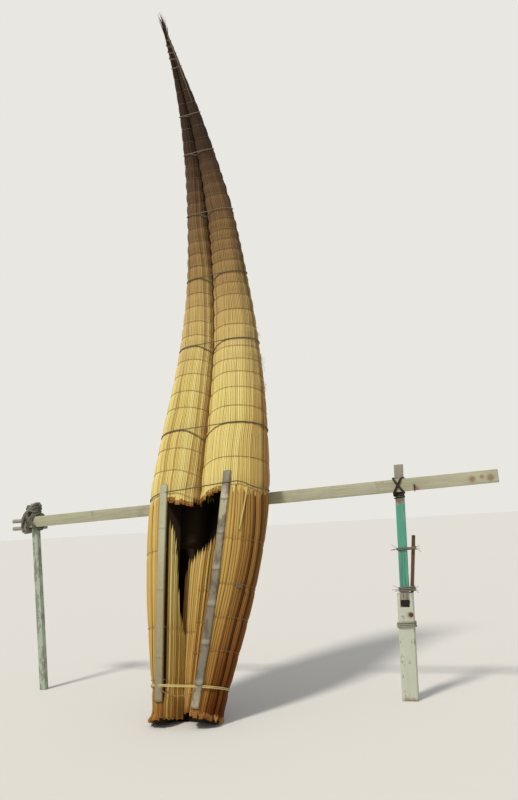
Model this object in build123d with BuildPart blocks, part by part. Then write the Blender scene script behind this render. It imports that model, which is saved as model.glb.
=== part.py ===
from build123d import *
from collections import namedtuple
from math import cos, degrees, pi, radians, sin, sqrt, tan
import os

# A reed boat of the two-bundle kind, stood on its stern to dry and leaning back on a lashed rail.
# X runs along the rail, -Y is the deck side, +Y the side of the rack, +Z is up, in millimetres.
# The origin lies on the floor, where the two bundles meet at the heel that the boat stands on.

# Centreline of the hull: a straight run that leans back, then two arcs that carry the bow forward
LEAN = 18.24
STRAIGHT_RUN = 1948
MIDDLE_RUN = 1202
MIDDLE_RADIUS = 2700
BOW_RADIUS = 2300
HEEL_SETBACK = 40

# Each half of the hull is a round bundle, drawn in flats as wide as a hand of reeds. width and
# depth are its half sizes at a station along the centreline, measured from the foot, and a
# section that is tied names its lashing.
Section = namedtuple("Section", "station width depth lashing")
HULL = [
    Section(-12, 186, 124, None),
    Section(180, 226, 134, "lashing_stern"),
    Section(700, 336, 158, None),
    Section(1300, 394, 170, "lashing_lip"),
    Section(1700, 367, 157, "lashing_1"),
    Section(2344, 291, 125, "lashing_2"),
    Section(2862, 225, 97, "lashing_3"),
    Section(3332, 173, 74, "lashing_4"),
    Section(3753, 113, 49, "lashing_5"),
    Section(4006, 77, 34, "lashing_6"),
    Section(4313, 35, 17, "lashing_7"),
    Section(4500, 15, 9, None),
]
BUNDLE_CENTRE = 0.48
BUNDLE_REACH = 0.52
BUNDLE_FLATS = 20
QUARTER = BUNDLE_FLATS // 4

# The two sides of the boat: the right bundle is a little fuller than the left one.
# A lath runs straight from (station, x) at its foot to (station, x) at its head.
Side = namedtuple("Side", "name sign fullness lath_foot lath_head")
SIDES = [
    Side("left", -1, 0.9314, (100, 106), (1335, 205)),
    Side("right", 1, 1.0686, (74, 115), (1392, 218)),
]

# The well is open from the stern to the lip, between straight walls just inside the laths. The
# outer reeds end at the lip, and the coarse reeds of the stern's sides and floor start there.
# Each side of its floor is crowned: level is the crown's height and edge that of its borders,
# and BED_FLATS flats lie across it. It falls away towards the lip, and a pocket goes on from
# there under the deck bundles, a little inside the walls.
LIP = 1250
WELL_CLEARANCE = 6
OVER_DECK = 60
Bed = namedtuple("Bed", "station width level edge")
WELL_LEVELS = {-60: (-18, -28), 400: (-24, -34), 860: (-36, -46), LIP: (-92, -98)}
POCKET_LEVELS = {LIP: (-86, -92), 1450: (-64, -70)}
POCKET_INSET = 12
BED_FLATS = 4

# The deck bundles start at the lip and lie on beds of their own, half width for half width
DECK_LIP_LEVEL = (-40, -50)
DECK_BEDS = [
    Bed(1700, 183, -36, -46),
    Bed(2344, 145, -24, -32),
    Bed(3332, 86, -10, -16),
    Bed(4006, 38, -4, -7),
    Bed(4200, 25, -2, -4),
]

# Split-cane laths on the gunwales, with a flat along the middle of their crown
LATH_WIDTH = 48
LATH_FLAT = 20
LATH_EDGE = 11
LATH_CROWN = 5
LATH_SEAT = 8
LATH_STATIONS = 4

# Ropes
ROPE = 9
OVER_LATHS = ("lashing_stern", "lashing_lip")
ROPE_CLEARANCE = 0.98
LIP_SLANT = 11
LIP_TILT = 4.4
BINDING_CORD = 7
BINDING_CLEARANCE = 0.2
BINDING_START = 4362
BINDING_PITCH = 38
BINDING_TURNS = 4

# Frayed reeds at the bow: (x, n, spread in degrees across, spread in degrees to the deck, length)
Tip = namedtuple("Tip", "x n across up length")
TUFT = [
    Tip(-9, -3, -8, 2, 125),
    Tip(-3, 3, -5, 6, 178),
    Tip(4, -2, -3, 0, 165),
    Tip(10, 2, 4, 4, 110),
]
TUFT_FOOT_RADIUS = 2.6
TUFT_TIP_RADIUS = 1
TUFT_FLATS = 6
TUFT_CLEARANCE = 0.5

# Rack: one long rail on a post at the left and a built-up post at the right. foot_x is where
# the middle of a timber meets the floor, or would, and lean is its lean to the right in degrees.
RAIL_LEFT = -1480
RAIL_RIGHT = 1742
RAIL_TOP = 1227
RAIL_HEIGHT = 75
RAIL_THICKNESS = 38
RAIL_RISE = 1.48
RAIL_BITE = 14
POST_GAP = 0.3
Timber = namedtuple("Timber", "foot_x lean width depth foot top")
LEFT_POST = Timber(-1414, -2.5, 46, 38, 0, 1285)
RIGHT_POST = Timber(1125, 2.4, 91, 50, 0, 600)
PLANK = Timber(1125, 2.4, 52, 26, 560, 1345)
NOTCH_FOOT = 520

# Round sticks: one set on the right post, and two lashed behind the left one that run past it
STICK_FOOT_X = 1190
STICK_LEAN = 7
STICK_RADIUS = 11
STICK_TOP = 925
SPUR_RADIUS = 14
SPUR_LEFT = -1690
SPUR_RIGHT = -1395
SPUR_LEVELS = (1112, 1166)

# Rope turns that hold the rack together
WRAP = 12
WRAP_BEVEL = 5
WRAP_CLEARANCE = 0.3
CROSS_TILT = 52
CROSS_TURNS = 2
POST_WRAP_LEVEL = 421
POST_WRAP_TURNS = 2
STICK_WRAPS = {"lower": 622, "upper": 852}


def centreline(station):
    """Lean in degrees and (y, z) of the centreline at a station."""
    straight = min(station, STRAIGHT_RUN)
    middle = min(max(station - STRAIGHT_RUN, 0), MIDDLE_RUN)
    bow = max(station - STRAIGHT_RUN - MIDDLE_RUN, 0)
    lean_1 = LEAN - degrees(middle / MIDDLE_RADIUS)
    lean_2 = lean_1 - degrees(bow / BOW_RADIUS)
    a, b, c = radians(LEAN), radians(lean_1), radians(lean_2)
    y = straight * sin(a) + MIDDLE_RADIUS * (cos(b) - cos(a)) + BOW_RADIUS * (cos(c) - cos(b))
    z = straight * cos(a) + MIDDLE_RADIUS * (sin(a) - sin(b)) + BOW_RADIUS * (sin(b) - sin(c))
    return lean_2, y - HEEL_SETBACK, z


def hull_plane(station, slant=0, tilt=0):
    """Plane across the hull: its x is across the boat and its y points to the deck side.

    slant raises the plane's back over its front, and tilt raises its right over its left.
    """
    lean, y, z = centreline(station)
    a, t = radians(lean - slant), radians(tilt)
    x_dir = (cos(t), sin(t) * sin(a), sin(t) * cos(a))
    return Plane(origin=(0, y, z), x_dir=x_dir, z_dir=(sin(t), -cos(t) * sin(a), -cos(t) * cos(a)))


def hull_size(station):
    """Half width and half depth of a bundle between two sections."""
    for low, high in zip(HULL, HULL[1:]):
        if station <= high.station:
            break
    share = (station - low.station) / (high.station - low.station)
    return low.width + share * (high.width - low.width), low.depth + share * (high.depth - low.depth)


def lath_x(side, station):
    """Distance of a lath's middle from the middle of the boat."""
    (foot, foot_x), (head, head_x) = side.lath_foot, side.lath_head
    return foot_x + (head_x - foot_x) * (station - foot) / (head - foot)


def deck_level(side, station, x):
    """Height of the bundle's back over the centreline at x from the middle of the boat."""
    width, depth = hull_size(station)
    width *= side.fullness
    return depth * sqrt(1 - ((x - BUNDLE_CENTRE * width) / (BUNDLE_REACH * width)) ** 2)


def bundle_corner(k, centre, across, depth):
    """Corner number k of a bundle's outline, counted from its right edge towards the deck."""
    angle = 2 * pi * k / BUNDLE_FLATS
    return centre + across * cos(angle), depth * sin(angle)


def export(part, name):
    """Label a finished piece and write it."""
    part.label = name
    export_step(part, f"parts/{name}.step")


def make_half(side):
    """One whole round bundle, flat where it meets the other one."""
    with BuildPart() as half:
        for section in HULL:
            width = section.width * side.fullness
            centre, across = side.sign * BUNDLE_CENTRE * width, BUNDLE_REACH * width
            with BuildSketch(hull_plane(section.station)):
                with BuildLine():
                    corners = [bundle_corner(k, centre, across, section.depth) for k in range(BUNDLE_FLATS)]
                    Polyline(*corners, close=True)
                make_face()
        loft()
        split(bisect_by=Plane.YZ, keep=Keep.TOP if side.sign > 0 else Keep.BOTTOM)
        split(bisect_by=Plane.XY, keep=Keep.TOP)
    return half.part


def well_beds(side, levels, inset=0):
    """Beds on one side of the well, whose wall runs inside the lath, from a table of levels."""
    clearance = LATH_WIDTH / 2 + WELL_CLEARANCE + inset
    return [Bed(station, lath_x(side, station) - clearance, *level) for station, level in levels.items()]


def make_bedded(side, beds, direction):
    """What lies on the beds (1) or under them (-1), between the middle of the boat and the wall."""
    with BuildPart() as body:
        for bed in beds:
            wall = side.sign * bed.width
            reach = direction * (hull_size(max(bed.station, HULL[0].station))[1] + OVER_DECK)
            crown = [(wall * k / BED_FLATS, bed.level - (bed.level - bed.edge) * (2 * k / BED_FLATS - 1) ** 2)
                     for k in range(BED_FLATS + 1)]
            with BuildSketch(hull_plane(bed.station)):
                with BuildLine():
                    Polyline(*crown, (wall, reach), (0, reach), close=True)
                make_face()
        loft()
    return body.part


def make_lath(side):
    """Split-cane lath: flat below, crowned above, let into the top of the gunwale."""
    foot, head = side.lath_foot[0], side.lath_head[0]
    with BuildPart() as lath:
        for k in range(LATH_STATIONS):
            station = foot + (head - foot) * k / (LATH_STATIONS - 1)
            x = lath_x(side, station)
            bottom = deck_level(side, station, x) - LATH_SEAT
            middle, half, flat = side.sign * x, LATH_WIDTH / 2, LATH_FLAT / 2
            edge, crown = bottom + LATH_EDGE, bottom + LATH_EDGE + LATH_CROWN
            with BuildSketch(hull_plane(station)):
                with BuildLine():
                    Polyline(
                        (middle - half, bottom), (middle + half, bottom), (middle + half, edge),
                        (middle + flat, crown), (middle - flat, crown), (middle - half, edge), close=True,
                    )
                make_face()
        loft()
    return lath.part


def pair_outline(width, depth, stand, over):
    """What a cord pulled tight round both bundles encloses, raised over the deck by a lath's height."""
    (left, left_r), (right, right_r) = [
        (BUNDLE_CENTRE * side.fullness * width, BUNDLE_REACH * side.fullness * width + stand) for side in SIDES
    ]
    low, high = depth + stand, depth + stand + over
    corners = [bundle_corner(k, right, right_r, low) for k in range(-QUARTER, 0)]
    corners += [bundle_corner(k, right, right_r, high) for k in range(0, QUARTER + 1)]
    corners += [bundle_corner(k, -left, left_r, high) for k in range(QUARTER, 2 * QUARTER + 1)]
    corners += [bundle_corner(k, -left, left_r, low) for k in range(2 * QUARTER + 1, 3 * QUARTER + 1)]
    with BuildSketch() as outline:
        with BuildLine():
            Polyline(*corners, close=True)
        make_face()
    return outline.sketch


def make_ring(station, width, depth, cord, clearance, over=0, slant=0, tilt=0):
    """One turn of cord round both bundles, across them or slanted and tilted as its plane is."""
    width /= cos(radians(tilt))
    depth /= cos(radians(slant))
    with BuildPart() as ring:
        with BuildSketch(hull_plane(station, slant, tilt)):
            add(pair_outline(width, depth, clearance + cord, over))
            add(pair_outline(width, depth, clearance, over), mode=Mode.SUBTRACT)
        extrude(amount=cord / 2, both=True)
    return ring.part


def make_wrap(centre, width, depth, turns=1, tilt=0):
    """Turns of rope round timbers that fill width by depth, bevelled where they pass the corners."""
    t = radians(tilt)
    across = Plane(origin=centre, x_dir=(cos(t), 0, sin(t)), z_dir=(-sin(t), 0, cos(t)))
    with BuildPart() as wrap:
        with BuildSketch(across):
            Rectangle(width + 2 * (WRAP_CLEARANCE + WRAP), depth + 2 * (WRAP_CLEARANCE + WRAP))
            chamfer(vertices(), WRAP_BEVEL)
            Rectangle(width + 2 * WRAP_CLEARANCE, depth + 2 * WRAP_CLEARANCE, mode=Mode.SUBTRACT)
        extrude(amount=turns * WRAP / 2, both=True)
    return wrap.part


def timber_x(timber, level):
    """Place of a timber's middle along the rail at a height over the floor."""
    return timber.foot_x + level * tan(radians(timber.lean))


def rail_level(x):
    """Height of the rail's middle at a place along it."""
    return RAIL_TOP - RAIL_HEIGHT / 2 + x * tan(radians(RAIL_RISE))


def spread(width, lean, turns):
    """Level width that a leaning piece takes up inside turns of rope."""
    return width / cos(radians(lean)) + turns * WRAP * tan(radians(lean))


def make_timber(timber, front):
    """Leaning timber with level ends, its front face at y = front."""
    foot_x, top_x = timber_x(timber, timber.foot), timber_x(timber, timber.top)
    with BuildPart() as piece:
        with BuildSketch(Plane.XZ.offset(-front)):
            with BuildLine():
                Polyline(
                    (foot_x - timber.width / 2, timber.foot), (foot_x + timber.width / 2, timber.foot),
                    (top_x + timber.width / 2, timber.top), (top_x - timber.width / 2, timber.top), close=True,
                )
            make_face()
        extrude(amount=-timber.depth)
    return piece.part


def make_stick(start, direction, radius, length):
    """Round stick from the middle of its first end."""
    with BuildPart(Plane(origin=start, z_dir=direction)) as stick:
        Cylinder(radius, length, align=(Align.CENTER, Align.CENTER, Align.MIN))
    return stick.part


def make_reed(foot, length):
    """One loose reed that tapers from its foot."""
    with BuildPart() as reed:
        with BuildSketch(foot):
            RegularPolygon(TUFT_FOOT_RADIUS, TUFT_FLATS)
        with BuildSketch(foot.offset(length)):
            RegularPolygon(TUFT_TIP_RADIUS, TUFT_FLATS)
        loft()
    return reed.part


os.makedirs("parts", exist_ok=True)

# Rack
rail_middle = (RAIL_LEFT + RAIL_RIGHT) / 2
bearing = next(s for s in range(0, STRAIGHT_RUN)
               if centreline(s)[2] - hull_size(max(s, HULL[0].station))[1] * sin(radians(LEAN)) >= RAIL_TOP)
rail_front = centreline(bearing)[1] + hull_size(bearing)[1] * cos(radians(LEAN)) - RAIL_BITE
rail_back = rail_front + RAIL_THICKNESS
post_front = rail_back + POST_GAP

rise = radians(RAIL_RISE)
rail_plane = Plane(origin=(0, rail_front, RAIL_TOP), x_dir=(cos(rise), 0, sin(rise)), z_dir=(0, -1, 0))
with BuildPart() as rack_rail:
    with BuildSketch(rail_plane):
        with Locations((rail_middle, -RAIL_HEIGHT / 2)):
            Rectangle(RAIL_RIGHT - RAIL_LEFT, RAIL_HEIGHT)
    extrude(amount=-RAIL_THICKNESS)

with BuildPart() as rack_post_right:
    add(make_timber(RIGHT_POST, post_front))
    add(make_timber(PLANK._replace(foot=NOTCH_FOOT), post_front), mode=Mode.SUBTRACT)

stick_y = post_front + RIGHT_POST.depth / 2
stick_slope = tan(radians(STICK_LEAN))
stick_length = (STICK_TOP - RIGHT_POST.top) / cos(radians(STICK_LEAN))
stick_foot = (STICK_FOOT_X, stick_y, RIGHT_POST.top + STICK_RADIUS * sin(radians(STICK_LEAN)))
spur_y = post_front + LEFT_POST.depth + SPUR_RADIUS

# Boat
halves = {side.name: make_half(side) for side in SIDES}
laths = {side.name: make_lath(side) for side in SIDES}
lath_stand = LATH_EDGE + LATH_CROWN - LATH_SEAT
rings = {}
for section in HULL:
    if section.lashing:
        over = lath_stand if section.lashing in OVER_LATHS else 0
        slant, tilt = (LIP_SLANT, LIP_TILT) if section.lashing == "lashing_lip" else (0, 0)
        middle = section.station + section.depth * tan(radians(slant))
        ring = make_ring(middle, section.width, section.depth, ROPE, ROPE_CLEARANCE, over, slant, tilt)
        rings[section.lashing] = ring

for side in SIDES:
    beds = well_beds(side, WELL_LEVELS)
    deck_beds = [Bed(bed.station, bed.width * side.fullness, bed.level, bed.edge) for bed in DECK_BEDS]
    deck = make_bedded(side, well_beds(side, {LIP: DECK_LIP_LEVEL}) + deck_beds, 1)

    with BuildPart() as stern_side:
        add(halves[side.name])
        split(bisect_by=hull_plane(LIP), keep=Keep.TOP)
        add(make_bedded(side, beds, 1), mode=Mode.SUBTRACT)
        add(make_bedded(side, beds, -1), mode=Mode.SUBTRACT)
        add(laths[side.name], mode=Mode.SUBTRACT)
    export(stern_side.part, f"stern_side_{side.name}")

    with BuildPart() as stern_floor:
        add(halves[side.name])
        add(make_bedded(side, beds, -1), mode=Mode.INTERSECT)
    export(stern_floor.part, f"stern_floor_{side.name}")

    with BuildPart() as mother_bundle:
        add(halves[side.name])
        split(bisect_by=hull_plane(LIP), keep=Keep.BOTTOM)
        add(deck, mode=Mode.SUBTRACT)
        add(make_bedded(side, well_beds(side, POCKET_LEVELS, POCKET_INSET), 1), mode=Mode.SUBTRACT)
        for piece in (laths[side.name], rings["lashing_lip"], rack_rail.part):
            add(piece, mode=Mode.SUBTRACT)
    export(mother_bundle.part, f"mother_bundle_{side.name}")

    with BuildPart() as child_bundle:
        add(halves[side.name])
        add(deck, mode=Mode.INTERSECT)
    export(child_bundle.part, f"child_bundle_{side.name}")

    with BuildPart() as gunwale_lath:
        add(laths[side.name])
        for name in OVER_LATHS:
            add(rings[name], mode=Mode.SUBTRACT)
    export(gunwale_lath.part, f"gunwale_lath_{side.name}")

for name, ring in rings.items():
    export(ring, name)

with BuildPart() as bow_binding:
    for k in range(BINDING_TURNS):
        station = BINDING_START + k * BINDING_PITCH
        width, depth = hull_size(station)
        add(make_ring(station, width, depth, BINDING_CORD, BINDING_CLEARANCE))
export(bow_binding.part, "bow_binding")

bow_end = hull_plane(HULL[-1].station).offset(-TUFT_CLEARANCE)
with BuildPart() as bow_tuft:
    for tip in TUFT:
        along = -bow_end.z_dir + bow_end.x_dir * tan(radians(tip.across)) + bow_end.y_dir * tan(radians(tip.up))
        add(make_reed(Plane(bow_end.from_local_coords((tip.x, tip.n, 0)), z_dir=along), tip.length))
export(bow_tuft.part, "bow_tuft")

export(rack_rail.part, "rack_rail")
export(make_timber(LEFT_POST, post_front), "rack_post_left")
export(rack_post_right.part, "rack_post_right")
export(make_timber(PLANK, post_front), "rack_plank_right")
export(make_stick(stick_foot, (stick_slope, 0, 1), STICK_RADIUS, stick_length), "rack_stick_right")

with BuildPart() as rack_spurs_left:
    for level in SPUR_LEVELS:
        add(make_stick((SPUR_LEFT, spur_y, level), (1, 0, 0), SPUR_RADIUS, SPUR_RIGHT - SPUR_LEFT))
export(rack_spurs_left.part, "rack_spurs_left")

# Crossed turns that tie the rail to what stands behind it
spur_drop = rail_level(LEFT_POST.foot_x) - SPUR_LEVELS[0] + SPUR_RADIUS
for name, timber, behind, half_height in (
    ("left", LEFT_POST, 2 * SPUR_RADIUS, max(RAIL_HEIGHT / 2, spur_drop)),
    ("right", PLANK, 0, RAIL_HEIGHT / 2),
):
    level = rail_level(timber.foot_x)
    depth = RAIL_THICKNESS + POST_GAP + timber.depth + behind
    middle = (timber_x(timber, level), rail_front + depth / 2, level)
    reach = max(
        spread(2 * half_height, 90 - CROSS_TILT + RAIL_RISE, CROSS_TURNS),
        spread(timber.width, CROSS_TILT + abs(timber.lean), CROSS_TURNS),
    )
    with BuildPart() as cross:
        for tilt in (CROSS_TILT, -CROSS_TILT):
            add(make_wrap(middle, reach, depth, CROSS_TURNS, tilt))
    export(cross.part, f"rack_lashing_{name}")

# Turns round the plank and the stick, and round the post
for name, level in STICK_WRAPS.items():
    left = timber_x(PLANK, level) - spread(PLANK.width, PLANK.lean, 1) / 2
    right = STICK_FOOT_X + (level - RIGHT_POST.top) * stick_slope + spread(2 * STICK_RADIUS, STICK_LEAN, 1) / 2
    back = stick_y + STICK_RADIUS
    middle = ((left + right) / 2, (post_front + back) / 2, level)
    export(make_wrap(middle, right - left, back - post_front), f"rack_lashing_stick_{name}")
middle = (timber_x(RIGHT_POST, POST_WRAP_LEVEL), post_front + RIGHT_POST.depth / 2, POST_WRAP_LEVEL)
post_spread = spread(RIGHT_POST.width, RIGHT_POST.lean, POST_WRAP_TURNS)
export(make_wrap(middle, post_spread, RIGHT_POST.depth, POST_WRAP_TURNS), "rack_lashing_post")
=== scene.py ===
"""Looks of a two-bundle reed boat that stands on its stern against a lashed drying rack.

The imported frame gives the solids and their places. This script dresses them: reed by reed on
the hull, with cords, ropes, split-cane laths and weathered timber. Lengths are in millimetres
in the classes, and turn to metres where a mesh is made.
"""
import logging
import math
from dataclasses import dataclass, field
from enum import Enum
from functools import partial
from typing import Callable, Sequence

import bmesh
import bpy
import numpy as np
from mathutils import Matrix, Vector, noise


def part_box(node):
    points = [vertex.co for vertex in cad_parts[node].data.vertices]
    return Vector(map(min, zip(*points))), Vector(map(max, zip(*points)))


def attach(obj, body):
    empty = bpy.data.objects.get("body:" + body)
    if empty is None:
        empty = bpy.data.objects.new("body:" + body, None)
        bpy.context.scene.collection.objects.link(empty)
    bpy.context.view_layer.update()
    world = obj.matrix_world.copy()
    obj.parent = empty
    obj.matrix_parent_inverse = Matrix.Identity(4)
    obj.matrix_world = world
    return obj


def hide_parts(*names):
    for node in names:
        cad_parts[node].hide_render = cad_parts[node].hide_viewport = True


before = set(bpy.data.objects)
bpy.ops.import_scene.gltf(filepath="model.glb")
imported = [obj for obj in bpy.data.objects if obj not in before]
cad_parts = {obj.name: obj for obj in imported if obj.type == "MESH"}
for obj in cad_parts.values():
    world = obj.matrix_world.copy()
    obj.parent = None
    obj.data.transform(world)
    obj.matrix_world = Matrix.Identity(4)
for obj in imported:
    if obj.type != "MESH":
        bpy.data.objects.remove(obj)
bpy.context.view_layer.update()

Array = np.ndarray
Material = bpy.types.Material
Object = bpy.types.Object
Socket = bpy.types.NodeSocket
Piece = tuple[Object, str | None, str]
Skin = Callable[[Array, Array], tuple[Array, Array]]
Adder = Callable[..., Socket]
Rng = np.random.Generator

MM = 0.001
TURN = 2 * math.pi
log = logging.getLogger("reed_boat")


# Hull form


def eased(value: Array) -> Array:
    """A value held from 0 to 1, with a soft start and end."""
    share = np.clip(value, 0, 1)
    return share * share * (3 - 2 * share)


def smooth_curve(at: Array, xs: Array, ys: Array) -> Array:
    """Cubic curve through points, its slope at each point that of its neighbours.

    Args:
        at: places to read the curve at.
        xs: places of the points.
        ys: values of the points.

    Returns:
        The values at the places.
    """
    slopes = np.gradient(ys, xs)
    k = np.clip(np.searchsorted(xs, at) - 1, 0, len(xs) - 2)
    span = xs[k + 1] - xs[k]
    t = (at - xs[k]) / span
    return ((2 * t**3 - 3 * t**2 + 1) * ys[k] + (t**3 - 2 * t**2 + t) * span * slopes[k]
            + (3 * t**2 - 2 * t**3) * ys[k + 1] + (t**3 - t**2) * span * slopes[k + 1])


class Way(Enum):
    """Side of the boat, as seen from its deck."""

    LEFT = -1
    RIGHT = 1


@dataclass(frozen=True)
class HullForm:
    """The centreline and the sections that the solids of the hull are lofted from.

    A section is a station along the centreline and the hull's half width and half depth there.
    The lip's edge is given as places across the boat and their stations, and its rope's sag as
    pairs for the left and the right.
    """

    lean: float = 18.24
    straight_run: float = 1948
    middle_run: float = 1202
    middle_radius: float = 2700
    bow_radius: float = 2300
    heel_setback: float = 40
    bundle_centre: float = 0.48
    bundle_reach: float = 0.52
    lip_rope: float = 1333
    lip_slant: float = 11
    lip_tilt: float = 4.4
    sag_starts: tuple[float, float] = (195, 280)
    sag_spans: tuple[float, float] = (215, 135)
    lip_sags: tuple[float, float] = (30, 52)
    stout_from: float = 170
    least_bite: float = 0.3
    lip_edge: tuple[tuple[float, float], ...] = (
        (-260, 1205), (-160, 1214), (-126, 1212), (-52, 1211), (-19, 1217), (5, 1229), (18, 1239),
        (67, 1231), (88, 1245), (130, 1248), (180, 1251), (260, 1245),
    )
    sections: tuple[tuple[float, float, float], ...] = (
        (-12, 186, 124), (180, 226, 134), (700, 336, 158), (1300, 394, 170), (1700, 367, 157),
        (2344, 291, 125), (2862, 225, 97), (3332, 173, 74), (3753, 113, 49), (4006, 77, 34),
        (4313, 35, 17), (4500, 15, 9),
    )

    def centre(self, station: Array) -> tuple[Array, Array, Array]:
        """Lean in radians and place of the centreline.

        Args:
            station: distances along the centreline from the foot.

        Returns:
            The lean, y and z at each station.
        """
        straight = np.minimum(station, self.straight_run)
        middle = np.clip(station - self.straight_run, 0, self.middle_run)
        bow = np.maximum(station - self.straight_run - self.middle_run, 0)
        a = math.radians(self.lean)
        b = a - middle / self.middle_radius
        c = b - bow / self.bow_radius
        y = straight * math.sin(a) + self.middle_radius * (np.cos(b) - math.cos(a))
        y = y + self.bow_radius * (np.cos(c) - np.cos(b)) - self.heel_setback
        z = straight * math.cos(a) + self.middle_radius * (math.sin(a) - np.sin(b))
        z = z + self.bow_radius * (np.sin(b) - np.sin(c))
        return c, y, z

    def size(self, station: Array) -> tuple[Array, Array]:
        """Half width and half depth of the hull, smooth from section to section.

        Args:
            station: distances along the centreline.

        Returns:
            The half widths and the half depths.
        """
        at, width, depth = np.array(self.sections, dtype=float).T
        clipped = np.clip(station, at[0], at[-1])
        return smooth_curve(clipped, at, width), smooth_curve(clipped, at, depth)

    def place(self, station: Array, x: Array, n: Array, slant: float = 0, tilt: float = 0) -> Array:
        """Points in metres of places in the planes across the hull.

        Args:
            station: the plane's distance along the centreline.
            x: distance across the boat.
            n: height over the centreline, towards the deck.
            slant: degrees that raise the plane's back over its front.
            tilt: degrees that raise its right over its left.

        Returns:
            An array with x, y and z in its last axis.
        """
        lean, y, z = self.centre(station)
        a, t = lean - math.radians(slant), math.radians(tilt)
        along = x * math.sin(t)
        return np.stack([x * math.cos(t) + 0 * y, y - n * np.cos(a) + along * np.sin(a),
                         z + n * np.sin(a) + along * np.cos(a)], axis=-1) * MM

    def bite(self, station: Array) -> Array:
        """Share of its full depth to which a tie dents the reeds, less where the hull is slim."""
        return np.clip(self.size(station)[0] / self.stout_from, self.least_bite, 1)

    def lip_sag(self, x: Array) -> Array:
        """How far the rope of the lip slips back where it rounds the flanks."""
        start, span, sag = (np.where(x < 0, *pair)
                            for pair in (self.sag_starts, self.sag_spans, self.lip_sags))
        return sag * eased((np.abs(x) - start) / span)

    def lip_rope_station(self, x: Array, n: Array) -> Array:
        """Station at which the slanted rope of the lip passes a place on the skin."""
        tilt, slant = (math.tan(math.radians(v)) for v in (self.lip_tilt, self.lip_slant))
        return self.lip_rope + x * tilt - n * slant - self.lip_sag(x)

    def lip(self, x: Array) -> Array:
        """Station of the ragged lip of the well at a place across the boat."""
        return np.interp(x, *zip(*self.lip_edge))


HULL = HullForm()


@dataclass(frozen=True)
class Tie:
    """A cord round the reeds: its station, how far it draws them in, and how wide the dent is."""

    station: float
    dent: float
    spread: float


@dataclass(frozen=True)
class MainRope:
    """A rope round both bundles: its station, and how far ahead of it it lies on each crown."""

    station: float
    left: float = 0
    right: float = 0

    def at(self, x: Array) -> Array:
        """Its station at places across the boat."""
        crown = HULL.bundle_centre * float(HULL.size(np.array(float(self.station)))[0])
        slope = (self.right - self.left) / (2 * crown)
        return self.station + (self.left + self.right) / 2 + slope * x


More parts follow.
